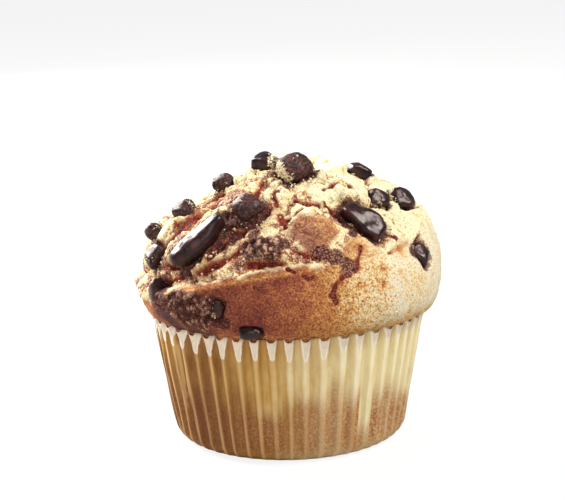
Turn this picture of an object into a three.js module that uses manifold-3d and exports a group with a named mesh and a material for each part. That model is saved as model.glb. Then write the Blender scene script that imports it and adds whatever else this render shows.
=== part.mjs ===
// A chocolate chunk muffin in its fluted greaseproof paper case.
// Millimetres, +Z up. The origin is the centre of the foot, on the table, and -Y is the front.
// The solids are the paper case, the cake that fills it and rises over its edge, and the
// chocolate chunks, each seated in a socket of the crust.
import * as THREE from "three";
import { mergeVertices } from "three/addons/utils/BufferGeometryUtils.js";
import Module from "manifold-3d";

// Paper case: outside radii of its flutes, and the wall's height above the table.
const CASE_TOP_R = 32.0;
const CASE_FOOT_R = 26.7;
const CASE_HEIGHT = 30.2;
const CASE_CORNER_R = 4.0;
const PAPER = 0.4;
const FLUTES = 48;
const FLUTE_DEPTH = { foot: 0.55, top: 1.25 };
const RIDGE_SHARE = { foot: 0.24, top: 0.46 };
const FLANK_SHARE = 0.15;
const FOOT_SHARE = 0.09; // of the case's height, where the round corner ends

// Directions of the ridges' middles along the front, in degrees (0 is +X, -90 the front). The
// other ridges follow round the back, a little unevenly.
const FRONT_RIDGES = [
  -140, -132, -124.5, -118.5, -111, -104, -97, -90, -83.5, -76, -67.5, -60.5, -53, -45.5, -38.5,
];
const FLUTE_UNEVENNESS = 0.16;

// Clearance between two solids that touch.
const GAP = 0.3;

// Cake: its lip stands out over the case's edge, and from there the crown swells to its widest
// and domes to the top.
const CROWN_R = 35.7;
const CROWN_WIDEST_Z = 38.0;
const CROWN_TOP_Z = 66.0;
const DOME_RISE_POWER = 1.8;
const DOME_ROUND_POWER = 0.62;
const LIP_Z = CASE_HEIGHT + GAP;
const LIP_OVERHANG = 1.4;
const LIP_RISE = 0.3;
const LIP_TURN = 0.8; // height over which the lip turns up into the crown
const UNDERCUT = 3.4;
const UNDERCUT_SPAN = 9.0;
const AROUND = 96;
const ROW_STEP = 2.65;

// Crust relief: blocks of broken crust with creases between them, and the ledge under them,
// whose height changes round the crown, and which stands out on one side and fades on the other.
const BLOCKS = 120;
const BLOCK_TURN = 137.508;
const BLOCK_SCATTER = { at: 40, z: 2.5 };
const BLOCK_STEP = 2.4;
const BLOCK_BLEND = 0.26;
const CREASE_DEPTH = 2.2;
const SMOOTH_BAND = 0.12;
const LEDGE = { z: 43.6, first: 2.8, firstAt: 10, second: 3.4, secondAt: -86 };
const LEDGE_REACH = { boldestAt: -150, from: 0.14, over: 0.33 }; // from and over are cosines
const LEDGE_OUT = 0.8;
const LEDGE_IN = 1.3;
const LEDGE_FADE = 4.5;
const LIP_CALM = 3.0;
const SEED = 20;

// Broad swells and hollows of the crown: direction (0 is +X, -90 the front), height, width, rise.
const SWELLS = [
  { at: 0, z: 54, width: 11.4, rise: 3.5 }, // right shoulder
  { at: -4, z: 58, width: 8.8, rise: -2.4 }, // step above the right shoulder
  { at: 174, z: 61, width: 14, rise: -2.3 }, // left slope
  { at: -164, z: 41, width: 9, rise: -3.7 }, // left side
  { at: -4, z: 65, width: 6, rise: -2.9 }, // top
  { at: 159, z: 62.4, width: 13.5, rise: -2.3 }, // back slope
  { at: -99, z: 51, width: 4.0, rise: 1.5 }, // crumb over a buried chunk
  { at: -72, z: 47.5, width: 4.0, rise: 1.1 }, // crumb over a buried chunk
  { at: -130, z: 38, width: 4.5, rise: 1.3 }, // dark lump above the case
  { at: -119, z: 34, width: 3.2, rise: 0.9 }, // dark lump at the lip
  { at: 75, z: 53, width: 10, rise: 1.8 }, // back shoulder
  { at: 130, z: 46, width: 7, rise: 1.2 },
];

// Places where the skin stayed whole, so that the blocks hardly show: direction, height, width.
const WHOLE_SKIN = [
  { at: -77, z: 53.5, width: 6 },
  { at: -58, z: 48, width: 8 },
  { at: -38, z: 46, width: 9 },
  { at: -14, z: 46, width: 8 },
  { at: 50, z: 46, width: 7 },
];
const WHOLE_SKIN_CALM = 0.8;

// Chocolate chunks: direction and height of the seat, length, width and height of the chunk,
// turn of its length from the level line, lean of its length out of the crust, and how much of
// its height is sunk in the crumb.
const CHUNKS = [
  { at: -131, z: 50.9, size: [16.0, 6.3, 6.3], turn: 59, lean: 2, sunk: 0.42 },
  { at: -112.3, z: 57.6, size: [6.6, 7.0, 6.2], turn: 62, lean: 0, sunk: 0.42 },
  { at: -159.2, z: 61.7, size: [5.0, 4.2, 4.4], turn: 55, lean: 0, sunk: 0.12 },
  { at: -129.6, z: 64.9, size: [6.2, 4.6, 4.0], turn: 4, lean: 0, sunk: 0.1 },
  { at: -77.3, z: 63.7, size: [8.8, 7.4, 5.6], turn: 30, lean: 0, sunk: 0.12 },
  { at: 8.2, z: 60.7, size: [4.4, 5.4, 3.4], turn: 0, lean: 0, sunk: 0.2 },
  { at: -27.8, z: 56.9, size: [5.0, 4.8, 4.6], turn: -42, lean: 0, sunk: 0.6 },
  { at: -9.5, z: 54.5, size: [7.0, 5.4, 4.6], turn: -20, lean: 0, sunk: 0.52 },
  { at: -50, z: 54.2, size: [11.2, 6.4, 5.8], turn: -65, lean: 3, sunk: 0.52 },
  { at: -25.7, z: 45.0, size: [5.8, 4.8, 4.6], turn: -70, lean: 0, sunk: 0.76 },
  { at: -157.5, z: 55.6, size: [5.0, 4.0, 4.0], turn: 42, lean: 0, sunk: 0.44 },
  { at: -177, z: 49.3, size: [5.6, 3.9, 4.6], turn: 6, lean: 0, sunk: 0.42 },
  { at: -160, z: 45.9, size: [5.8, 4.6, 4.4], turn: 82, lean: 0, sunk: 0.48 },
  { at: -103.6, z: 32.7, size: [5.4, 3.2, 3.8], turn: 3, lean: 0, sunk: 0.66 },
  { at: -150.7, z: 38.2, size: [5.4, 4.6, 4.6], turn: 55, lean: 0, sunk: 0.8 },
  { at: -115.5, z: 37.8, size: [4.2, 2.8, 4.0], turn: 77, lean: 0, sunk: 0.84 },
  { at: 46, z: 51.0, size: [8.6, 6.2, 5.2], turn: 35, lean: 0, sunk: 0.58 },
  { at: 74, z: 53.4, size: [12.6, 6.0, 5.8], turn: -28, lean: 2, sunk: 0.5 },
  { at: 104, z: 53.0, size: [7.0, 6.0, 5.2], turn: 10, lean: 0, sunk: 0.58 },
  { at: 24, z: 46.4, size: [6.4, 5.4, 5.0], turn: 50, lean: 0, sunk: 0.66 },
  { at: 126, z: 46.5, size: [8.4, 6.0, 5.2], turn: 62, lean: 0, sunk: 0.56 },
  { at: 149, z: 45.5, size: [6.0, 5.0, 4.8], turn: -15, lean: 0, sunk: 0.58 },
  { at: 96, z: 44.0, size: [6.8, 5.2, 5.0], turn: -70, lean: 0, sunk: 0.66 },
  { at: 62, z: 41.0, size: [7.4, 5.4, 5.0], turn: 20, lean: 0, sunk: 0.62 },
];
const CHUNK_SIDES = 10;
const CHUNK_RINGS = 6;
const CHUNK_SQUARENESS = 0.5;
const CHUNK_UNEVENNESS = 0.07;

const PAPER_COLOUR = 0xd9b877;
const CRUMB_COLOUR = 0xd99f5a;
const CHOCOLATE_COLOUR = 0x2e1712;

const wasm = await Module();
wasm.setup();

const mix = (a, b, t) => a + (b - a) * t;
const radians = (degrees) => (degrees * Math.PI) / 180;
const smooth = (t) => {
  const s = Math.min(1, Math.max(0, t));
  return s * s * (3 - 2 * s);
};

// Random draws from 0 to 1 with a fixed seed, so that every build is the same.
let state = SEED;
function draw() {
  state = (Math.imul(state, 1664525) + 1013904223) >>> 0;
  return state / 4294967296;
}

// ---- Closed surfaces from rings of points ----

// A surface under construction: rings are added and joined, then it becomes a geometry.
class Skin {
  constructor() {
    this.points = [];
    this.faces = [];
  }

  ring(points) {
    const first = this.points.length;
    this.points.push(...points);
    return points.map((_, i) => first + i);
  }

  // Joins two rings that run the same way round, which may differ in their number of points.
  join(lower, upper) {
    let i = 0;
    let j = 0;
    while (i < lower.length || j < upper.length) {
      const a = lower[i % lower.length];
      const b = upper[j % upper.length];
      const lowerNext = (i + 1) / lower.length;
      const upperNext = (j + 1) / upper.length;
      if (j >= upper.length || (i < lower.length && lowerNext <= upperNext)) {
        i += 1;
        this.faces.push(a, lower[i % lower.length], b);
      } else {
        j += 1;
        this.faces.push(a, upper[j % upper.length], b);
      }
    }
  }

  geometry() {
    const made = new THREE.BufferGeometry();
    const flat = this.points.flatMap((p) => [p.x, p.y, p.z]);
    made.setAttribute("position", new THREE.Float32BufferAttribute(flat, 3));
    made.setIndex(this.faces);
    return made;
  }
}

// Joins a list of rings, from the middle of the underside to the last one, into a closed skin.
function closedSkin(rings) {
  const skin = new Skin();
  const indices = rings.map((ring) => skin.ring(ring));
  for (let i = 0; i + 1 < indices.length; i += 1) {
    skin.join(indices[i], indices[i + 1]);
  }
  return skin.geometry();
}

// ---- Paper case ----

// Radius of the wall's outside line at a height, and how far up the wall that is, from 0 to 1.
const wallShare = (z) => z / CASE_HEIGHT;
const wallRadius = (z) => mix(CASE_FOOT_R, CASE_TOP_R, wallShare(z));
const fluteDepth = (z) => mix(FLUTE_DEPTH.foot, FLUTE_DEPTH.top, wallShare(z));
const WALL_LEAN = Math.atan2(CASE_TOP_R - CASE_FOOT_R, CASE_HEIGHT);
const FLAT_R =
  CASE_FOOT_R +
  CASE_CORNER_R * Math.tan(WALL_LEAN) -
  CASE_CORNER_R / Math.cos(WALL_LEAN);

// Directions of all the ridges: the front ones, then the others over what is left of the round.
function ridgeDirections() {
  const left = FLUTES - FRONT_RIDGES.length;
  const gaps = Array.from({ length: left + 1 }, () => 1 + FLUTE_UNEVENNESS * (2 * draw() - 1));
  const unit = (360 + FRONT_RIDGES[0] - FRONT_RIDGES.at(-1)) / gaps.reduce((a, b) => a + b);
  const ridges = [...FRONT_RIDGES];
  for (const gap of gaps.slice(0, left)) {
    ridges.push(ridges.at(-1) + gap * unit);
  }
  return ridges;
}
const ridges = ridgeDirections();

// One ring of the fluted wall: each ridge has two corners, and a corner of a valley either side.
function flutedRing(radius, z, depth, ridgeShare) {
  return ridges.flatMap((middle, i) => {
    const before = middle - (i > 0 ? ridges[i - 1] : ridges.at(-1) - 360);
    const after = (i + 1 < ridges.length ? ridges[i + 1] : ridges[0] + 360) - middle;
    const half = ridgeShare / 2;
    const corners = [
      [middle - before * (half + FLANK_SHARE), radius - depth],
      [middle - before * half, radius],
      [middle + after * half, radius],
      [middle + after * (half + FLANK_SHARE), radius - depth],
    ];
    return corners.map(([at, r]) => {
      const angle = radians(at);
      return new THREE.Vector3(r * Math.cos(angle), r * Math.sin(angle), z);
    });
  });
}

// The paper's face at an inset from its outside: the floor, the round corner in the turns given,
// in degrees, and the wall.
function paperRings(inset, cornerTurns) {
  const rings = [flutedRing(FLAT_R, inset, 0, RIDGE_SHARE.foot)];
  for (const turn of cornerTurns) {
    const angle = radians(turn) - Math.PI / 2;
    const reach = CASE_CORNER_R - inset;
    const z = CASE_CORNER_R + reach * Math.sin(angle);
    const depth = (FLUTE_DEPTH.foot * turn) / 90;
    rings.push(flutedRing(FLAT_R + reach * Math.cos(angle), z, depth, RIDGE_SHARE.foot));
  }
  for (const share of [FOOT_SHARE, 0.5, 1]) {
    const z = share * CASE_HEIGHT;
    const ridge = mix(RIDGE_SHARE.foot, RIDGE_SHARE.top, share * share);
    rings.push(flutedRing(wallRadius(z) - inset, z, fluteDepth(z), ridge));
  }
  return rings;
}

function paperCase() {
  const middle = (z) => [new THREE.Vector3(0, 0, z)];
  return closedSkin([
    middle(0),
    ...paperRings(0, [35, 60]),
    ...paperRings(PAPER, [50]).reverse(),
    middle(PAPER),
  ]);
}

// ---- Cake ----

// Radius of the plain crown at a height, before its relief.
function crownRadius(z) {
  if (z < CROWN_WIDEST_Z) {
    const below = (CROWN_WIDEST_Z - z) / UNDERCUT_SPAN;
    return CROWN_R - UNDERCUT * (1 - Math.sqrt(1 - below * below));
  }
  const above = (z - CROWN_WIDEST_Z) / (CROWN_TOP_Z - CROWN_WIDEST_Z);
  const rise = Math.pow(Math.min(1, above), DOME_RISE_POWER);
  return CROWN_R * Math.pow(1 - rise, DOME_ROUND_POWER);
}

// Point of the plain crown in a direction, in degrees, and at a height.
function crownPoint(at, z) {
  const r = crownRadius(z);
  return new THREE.Vector3(r * Math.cos(radians(at)), r * Math.sin(radians(at)), z);
}

// Outward normal of the plain crown there.
function crownNormal(at, z) {
  const step = 0.05;
  const low = Math.min(z, CROWN_TOP_Z - 2 * step);
  const slope = (crownRadius(low + step) - crownRadius(low)) / step;
  const around = radians(at);
  return new THREE.Vector3(Math.cos(around), Math.sin(around), -slope).normalize();
}

// Blocks of broken crust: centres spread evenly over the crown, each raised or sunk a little.
const blocks = Array.from({ length: BLOCKS }, (_, i) => {
  const level = mix(LIP_Z, CROWN_TOP_Z, (i + 0.5) / BLOCKS);
  const z = level + BLOCK_SCATTER.z * (draw() - 0.5);
  const at = i * BLOCK_TURN + BLOCK_SCATTER.at * (draw() - 0.5);
  return {
    centre: crownPoint(at, Math.min(z, CROWN_TOP_Z - 0.1)),
    raised: BLOCK_STEP * (draw() - 0.5),
  };
});

const swells = SWELLS.map(({ at, z, width, rise }) => ({
  centre: crownPoint(at, Math.min(z, CROWN_TOP_Z)),
  width,
  rise,
}));
const wholeSkin = WHOLE_SKIN.map(({ at, z, width }) => ({ centre: crownPoint(at, z), width }));

// 1 at the middle of a spot of the crown, falling to 0 over about its width.
const nearness = (p, { centre, width }) =>
  Math.exp(-p.distanceToSquared(centre) / (width * width));

// Height of the ledge where the smooth lip band ends and the broken crust starts.
function ledgeHeight(at) {
  const first = LEDGE.first * Math.cos(radians(at - LEDGE.firstAt));
  const second = LEDGE.second * Math.cos(radians(2 * (at - LEDGE.secondAt)));
  return LEDGE.z + first + second;
}

// How far the crust stands out from the plain crown at one of its points.
function relief(p, at) {
  let weights = 0;
  let raised = 0;
  let strongest = 0;
  for (const block of blocks) {
    const weight = Math.exp(-BLOCK_BLEND * p.distanceToSquared(block.centre));
    weights += weight;
    raised += weight * block.raised;
    strongest = Math.max(strongest, weight);
  }
  const crease = 1 - strongest / weights;
  const above = p.z - ledgeHeight(at);
  const whole = Math.max(...wholeSkin.map((spot) => nearness(p, spot)));
  const calm = 1 - WHOLE_SKIN_CALM * smooth(2 * whole);
  const broken = mix(SMOOTH_BAND, 1, smooth(above / 2 + 0.5)) * calm;
  let out = broken * (raised / weights - CREASE_DEPTH * crease);

  const facing = Math.cos(radians(at - LEDGE_REACH.boldestAt));
  const strength = smooth((facing - LEDGE_REACH.from) / LEDGE_REACH.over);
  const side = above < 0 ? LEDGE_OUT : -LEDGE_IN;
  out += strength * side * Math.exp(-Math.abs(above) / LEDGE_FADE) * smooth(Math.abs(above));

  for (const swell of swells) {
    out += swell.rise * nearness(p, swell);
  }
  return out * smooth((p.z - LIP_Z) / LIP_CALM);
}

// A point on the finished crust.
function crustPoint(at, z) {
  const p = crownPoint(at, z);
  return p.addScaledVector(crownNormal(at, z), relief(p.clone(), at));
}

// Number of points on a ring, fewer as the rings shrink towards the top.
function pointsAround(radius) {
  const wanted = (AROUND * radius) / CROWN_R;
  return [AROUND, 72, 48, 32, 20, 10].find((n) => n <= wanted * 1.3) ?? 6;
}

function roundRing(radius, z, count = AROUND) {
  return Array.from({ length: count }, (_, i) => {
    const angle = (2 * Math.PI * i) / count;
    return new THREE.Vector3(radius * Math.cos(angle), radius * Math.sin(angle), z);
  });
}

// Heights of the crown's rings, about one step apart along its outline.
function crownHeights() {
  const heights = [LIP_Z + LIP_TURN];
  const fine = 0.02;
  let z = heights[0];
  let run = 0;
  while (z < CROWN_TOP_Z - fine) {
    run += Math.hypot(fine, crownRadius(z + fine) - crownRadius(z));
    z += fine;
    if (run >= ROW_STEP) {
      heights.push(z);
      run = 0;
    }
  }
  return heights;
}

function cakeGeometry() {
  // The hidden side lies inside the flutes' valleys, one clearance off the paper.
  const inside = PAPER + GAP;
  const sideRadius = (z) => wallRadius(z) - fluteDepth(z) - inside;
  const footZ = FOOT_SHARE * CASE_HEIGHT;
  const rings = [
    [new THREE.Vector3(0, 0, inside)],
    roundRing(FLAT_R - inside, inside),
    roundRing(sideRadius(footZ) - GAP, footZ + inside),
    roundRing(sideRadius(CASE_HEIGHT), LIP_Z),
    roundRing(CASE_TOP_R, LIP_Z),
    roundRing(CASE_TOP_R + LIP_OVERHANG, LIP_Z + LIP_RISE),
  ];
  for (const z of crownHeights()) {
    const count = pointsAround(crownRadius(z));
    rings.push(Array.from({ length: count }, (_, i) => crustPoint((360 * i) / count, z)));
  }
  rings.push([crustPoint(0, CROWN_TOP_Z)]);
  return closedSkin(rings);
}

// ---- Chocolate chunks ----

// A softened block of chocolate: a sphere squared off towards a box, with uneven faces.
function chunkGeometry([length, width, height], grow = 0) {
  const ball = new THREE.SphereGeometry(1, CHUNK_SIDES, CHUNK_RINGS);
  ball.deleteAttribute("normal");
  ball.deleteAttribute("uv");
  const made = mergeVertices(ball, 1e-4);
  const position = made.getAttribute("position");
  const squared = (v) => Math.sign(v) * Math.pow(Math.abs(v), CHUNK_SQUARENESS);
  for (let i = 0; i < position.count; i += 1) {
    const v = new THREE.Vector3().fromBufferAttribute(position, i);
    const uneven = 1 + CHUNK_UNEVENNESS * Math.sin(5 * v.x + 3 * v.y + 4 * v.z + length);
    // The ball's poles lie along its y axis, which becomes the chunk's length.
    position.setXYZ(
      i,
      squared(v.y) * uneven * (length / 2 + grow),
      squared(v.z) * uneven * (width / 2 + grow),
      squared(v.x) * uneven * (height / 2 + grow),
    );
  }
  return made;
}

// Place of a chunk: its length lies along the crust, turned from the level line, and its
// height points out of it.
function chunkPlace({ at, z, size, turn, lean, sunk }) {
  const out = crownNormal(at, z);
  const level = new THREE.Vector3(-Math.sin(radians(at)), Math.cos(radians(at)), 0);
  const up = new THREE.Vector3().crossVectors(out, level);
  const place = new THREE.Matrix4().makeBasis(level, up, out);
  place.multiply(new THREE.Matrix4().makeRotationZ(radians(turn)));
  place.multiply(new THREE.Matrix4().makeRotationY(radians(-lean)));
  const seat = crustPoint(at, z).addScaledVector(out, size[2] * (0.5 - sunk));
  return place.setPosition(seat);
}

// ---- Assembly ----

function solidOf(geometry) {
  return new wasm.Manifold(
    new wasm.Mesh({
      numProp: 3,
      vertProperties: new Float32Array(geometry.getAttribute("position").array),
      triVerts: new Uint32Array(geometry.index.array),
    }),
  );
}

function geometryOf(solid) {
  const { vertProperties, triVerts } = solid.getMesh();
  const made = new THREE.BufferGeometry();
  made.setAttribute("position", new THREE.BufferAttribute(vertProperties, 3));
  made.setIndex(new THREE.BufferAttribute(triVerts, 1));
  return made;
}

function piece(name, geometry, colour, roughness) {
  const material = new THREE.MeshStandardMaterial({ color: colour, roughness, metalness: 0 });
  const mesh = new THREE.Mesh(geometry, material);
  mesh.name = name;
  return mesh;
}

const muffin = new THREE.Group();
muffin.add(piece("paper_case", paperCase(), PAPER_COLOUR, 0.55));

let cake = solidOf(cakeGeometry());
CHUNKS.forEach((chunk, i) => {
  const place = chunkPlace(chunk);
  const shape = chunkGeometry(chunk.size).applyMatrix4(place);
  const socket = chunkGeometry(chunk.size, GAP).applyMatrix4(place);
  cake = cake.subtract(solidOf(socket));
  const name = `chunk_${String(i + 1).padStart(2, "0")}`;
  muffin.add(piece(name, shape, CHOCOLATE_COLOUR, 0.3));
});
muffin.add(piece("cake", geometryOf(cake), CRUMB_COLOUR, 0.85));

export default muffin;
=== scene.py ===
import math
from itertools import product

import bmesh
import bpy
import numpy as np
from mathutils import Matrix, Vector


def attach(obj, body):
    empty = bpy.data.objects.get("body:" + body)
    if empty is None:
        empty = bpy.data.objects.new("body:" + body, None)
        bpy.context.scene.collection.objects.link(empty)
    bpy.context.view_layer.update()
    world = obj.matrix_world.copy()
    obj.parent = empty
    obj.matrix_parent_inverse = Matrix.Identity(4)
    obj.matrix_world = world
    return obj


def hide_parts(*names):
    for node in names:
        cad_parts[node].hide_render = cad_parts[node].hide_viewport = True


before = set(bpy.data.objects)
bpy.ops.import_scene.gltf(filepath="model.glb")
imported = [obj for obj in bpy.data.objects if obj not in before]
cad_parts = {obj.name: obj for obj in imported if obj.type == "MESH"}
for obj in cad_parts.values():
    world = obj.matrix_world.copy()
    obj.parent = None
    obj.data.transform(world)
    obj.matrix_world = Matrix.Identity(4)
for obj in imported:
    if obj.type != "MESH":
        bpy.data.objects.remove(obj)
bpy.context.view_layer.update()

# ---- Paper case ----
# A baking cup pressed from one round of greaseproof paper: a flat foot, a round corner and a
# wall of flutes. The batter rose against it, so the wall is stuck to the cake and shows its
# colour, and only the tops of the ridges stand free of it and stay dry and white.
# Sizes are in millimetres, and directions in degrees: 0 is +X and -90 the front.
CASE_TOP_R = 32.0
CASE_FOOT_R = 26.7
CASE_HEIGHT = 30.2
CASE_CORNER_R = 4.0
PAPER = 0.16
FLUTES = 48
FLUTE_DEPTH_FOOT, FLUTE_DEPTH_TOP = 0.55, 1.25
RIDGE_SHARE_FOOT, RIDGE_SHARE_TOP = 0.24, 0.46
FLANK_SHARE = 0.15
FRONT_RIDGES = [
    -140, -132, -124.5, -118.5, -111, -104, -97, -90, -83.5, -76, -67.5, -60.5, -53, -45.5, -38.5,
]
# How high the cake browned behind each of those ridges.
FRONT_BROWN = [
    18.5, 18.5, 17.5, 16.5, 15.5, 14.0, 13.5, 15.5, 16.5, 15.5, 18.0, 17.0, 8.0, 14.5, 16.5,
]
FLUTE_UNEVENNESS = 0.16
WALL_WAVE, WALL_RIPPLE = 0.16, 0.08
CALM_Z, CALM_SPAN = 1.0, 5.0
# The rim flares out at the ridges, and each ridge's edges there are bent up into horns.
RIM_SPAN, RIM_FLARE, RIM_RAGGEDNESS = 2.5, 0.42, 0.10
HORN, HORN_FROM, HORN_SPAN, HORN_DIP = 0.8, 0.12, 0.16, 0.45
# Long creases of the left and back: direction, and how far each stands out.
CREASES = [
    (-176.0, 0.35), (-161.0, 0.4), (-146.5, 0.45), (-141.0, 0.45), (62.0, 0.35), (118.0, 0.4),
]
CREASE_WIDTH, CREASE_LOST_ON_RIDGE = 0.45, 0.6
CREASE_SWAY, CREASE_SWAY_LENGTH = 1.2, 6.0
FLUTE_COLUMNS = 14
CORNER_ROWS, WALL_ROWS, INSIDE_ROWS = 7, 50, 8

# Where the fixed random row that spaces the flutes and the crust's blocks starts.
state = 20


def draw():
    """The next number from 0 to 1 of a fixed random row."""
    global state
    state = (state * 1664525 + 1013904223) % 2**32
    return state / 2**32


def mix(a, b, t):
    return a + (b - a) * t


def smooth(t):
    s = np.clip(t, 0.0, 1.0)
    return s * s * (3.0 - 2.0 * s)


def cosine(degrees):
    return np.cos(np.radians(degrees))


def cell_number(cells, seed):
    """A fixed random number from 0 to 1 for each whole-numbered cell of space."""
    x, y, z = (cells[..., i].astype(np.int64) for i in range(3))
    mixed = (x * 73856093) ^ (y * 19349663) ^ (z * 83492791) ^ (seed * 2654435761)
    mixed = ((mixed ^ (mixed >> 13)) * 1274126177) & 0xFFFFFFFF
    mixed = mixed ^ (mixed >> 16)
    return (mixed & 0xFFFF) / 65535.0


def billows(points, size, seed):
    """Smooth noise from -1 to 1 whose swells are about one size across."""
    place = points / size
    base = np.floor(place)
    inside = smooth(place - base)
    total = np.zeros(len(points))
    for corner in product((0, 1), repeat=3):
        weight = np.prod(np.where(corner, inside, 1.0 - inside), axis=1)
        total += weight * cell_number(base + corner, seed)
    return 2.0 * total - 1.0


def ridge_directions():
    left = FLUTES - len(FRONT_RIDGES)
    gaps = [1 + FLUTE_UNEVENNESS * (2 * draw() - 1) for _ in range(left + 1)]
    unit = (360 + FRONT_RIDGES[0] - FRONT_RIDGES[-1]) / sum(gaps)
    ridges = list(FRONT_RIDGES)
    for gap in gaps[:left]:
        ridges.append(ridges[-1] + gap * unit)
    return np.array(ridges)


def wall_radius(z):
    return mix(CASE_FOOT_R, CASE_TOP_R, z / CASE_HEIGHT)


def flute_depth(z):
    return mix(FLUTE_DEPTH_FOOT, FLUTE_DEPTH_TOP, z / CASE_HEIGHT)


WALL_LEAN = math.atan2(CASE_TOP_R - CASE_FOOT_R, CASE_HEIGHT)
FLAT_R = CASE_FOOT_R + CASE_CORNER_R * math.tan(WALL_LEAN) - CASE_CORNER_R / math.cos(WALL_LEAN)

# Each column of the paper's mesh: its direction, its flute, and its place across that flute,
# from -0.5 to 0.5 with 0 on the ridge.
ridges = ridge_directions()
gaps_before = np.diff(np.concatenate([[ridges[-1] - 360], ridges]))
gaps_after = np.diff(np.concatenate([ridges, [ridges[0] + 360]]))
across = np.tile((np.arange(FLUTE_COLUMNS) + 0.5) / FLUTE_COLUMNS - 0.5, FLUTES)
flute = np.repeat(np.arange(FLUTES), FLUTE_COLUMNS)
column_at = ridges[flute] + across * np.where(across < 0, gaps_before[flute], gaps_after[flute])


def paper_rows(inset, corner_rows, wall_rows):
    """Radius without flutes, height, and share of the flutes' depth, for rows from the foot up."""
    turns = np.linspace(0, math.pi / 2 - WALL_LEAN, corner_rows)
    reach = CASE_CORNER_R - inset
    radius = FLAT_R + reach * np.sin(turns)
    height = CASE_CORNER_R - reach * np.cos(turns)
    fluted = turns / turns[-1]
    wall_z = np.linspace(height[-1], CASE_HEIGHT, wall_rows + 1)[1:]
    radius = np.concatenate([radius, wall_radius(wall_z) - inset / math.cos(WALL_LEAN)])
    return radius, np.concatenate([height, wall_z]), np.concatenate([fluted, np.ones(wall_rows)])


def crease_rise(at, radius, z):
    """How far the long creases stand out of the wall."""
    rise = np.zeros_like(at)
    for crease_at, height in CREASES:
        bend = crease_at + CREASE_SWAY * math.sin(z / CREASE_SWAY_LENGTH + crease_at)
        off = (np.mod(at - bend + 180, 360) - 180) * math.pi / 180 * radius
        rise = rise + height * np.exp(-((off / CREASE_WIDTH) ** 2))
    return rise


def paper_points(inset, corner_rows, wall_rows):
    """Points of one face of the paper, row by row."""
    radius, height, fluted = paper_rows(inset, corner_rows, wall_rows)
    turn = np.radians(column_at)
    rows = []
    for r, z, share in zip(radius, height, fluted):
        up = z / CASE_HEIGHT
        half_ridge = mix(RIDGE_SHARE_FOOT, RIDGE_SHARE_TOP, up * up) / 2
        stand = 1 - smooth((np.abs(across) - half_ridge) / FLANK_SHARE)
        spot = np.stack([r * np.cos(turn), r * np.sin(turn), np.full_like(turn, z)], axis=1)
        upright = spot * [1, 1, 0.35]
        waves = WALL_WAVE * billows(spot, 9.0, 31) + WALL_RIPPLE * billows(upright, 2.4, 32)
        calm = share * smooth((z - CALM_Z) / CALM_SPAN)
        crease = crease_rise(column_at, r, z) * (1 - CREASE_LOST_ON_RIDGE * stand)
        out = r - share * flute_depth(z) * (1 - stand) + calm * (waves + crease)
        near_rim = smooth((z - CASE_HEIGHT + RIM_SPAN) / RIM_SPAN)
        out = out + RIM_FLARE * near_rim * stand
        horn = HORN * (smooth((np.abs(across) - HORN_FROM) / HORN_SPAN) - HORN_DIP) * stand
        edge = near_rim**3 * (horn + RIM_RAGGEDNESS * billows(spot, 2.2, 33))
        rows.append(np.stack([out * np.cos(turn), out * np.sin(turn), z + edge], axis=1))
    return rows


def sheet_faces(rows):
    """Quads that join rings of equal length, one after another."""
    faces = []
    start = 0
    for lower, upper in zip(rows, rows[1:]):
        n = len(lower)
        i = np.arange(n)
        j = (i + 1) % n
        faces.append(np.stack([start + i, start + j, start + n + j, start + n + i], axis=1))
        start += n
    return np.concatenate(faces)


def mesh_piece(name, points, faces, masks):
    """A smooth object from points in millimetres, with one number per point for each mask."""
    mesh = bpy.data.meshes.new(name)
    mesh.from_pydata((np.asarray(points) * 0.001).tolist(), [], [list(f) for f in faces])
    mesh.polygons.foreach_set("use_smooth", np.ones(len(mesh.polygons), dtype=bool))
    for key, values in masks.items():
        layer = mesh.attributes.new(key, "FLOAT", "POINT")
        layer.data.foreach_set("value", np.asarray(values, dtype=np.float32))
    mesh.update()
    made = bpy.data.objects.new(name, mesh)
    bpy.context.scene.collection.objects.link(made)
    return made


# The paper is palest on the right and darkest on the left: partly the cake baked paler there,
# partly painted light on the lit right and painted shade on the left. The dry tips of the ridges
# are shortest there and widest at the left, where one narrow stretch of the wall is toned paler too.
PALE_AT, WIDE_TIPS_AT, PALE_STRETCH_AT = -10, -150, -155
DRY_LENGTH, DRY_LENGTH_LOST = 5.0, 0.34
DRY_SHARE, DRY_SHARE_MORE, DRY_SHARE_END = 0.31, 0.09, 0.11
DRY_END_ROUNDING = 16.0
LINE_NARROW, LINE_WIDE, LINE_EDGE = 0.06, 0.15, 0.12
BROWN_REACH, BROWN_REACH_LUCK, BROWN_REACH_LEFT = 12.6, 7.0, 6.0
BROWN_UNEVENNESS, BROWN_FADE = 2.4, 9.5
CRUSTY_SPAN, CRUSTY_ON_PALE = 5.5, 0.35


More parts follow.
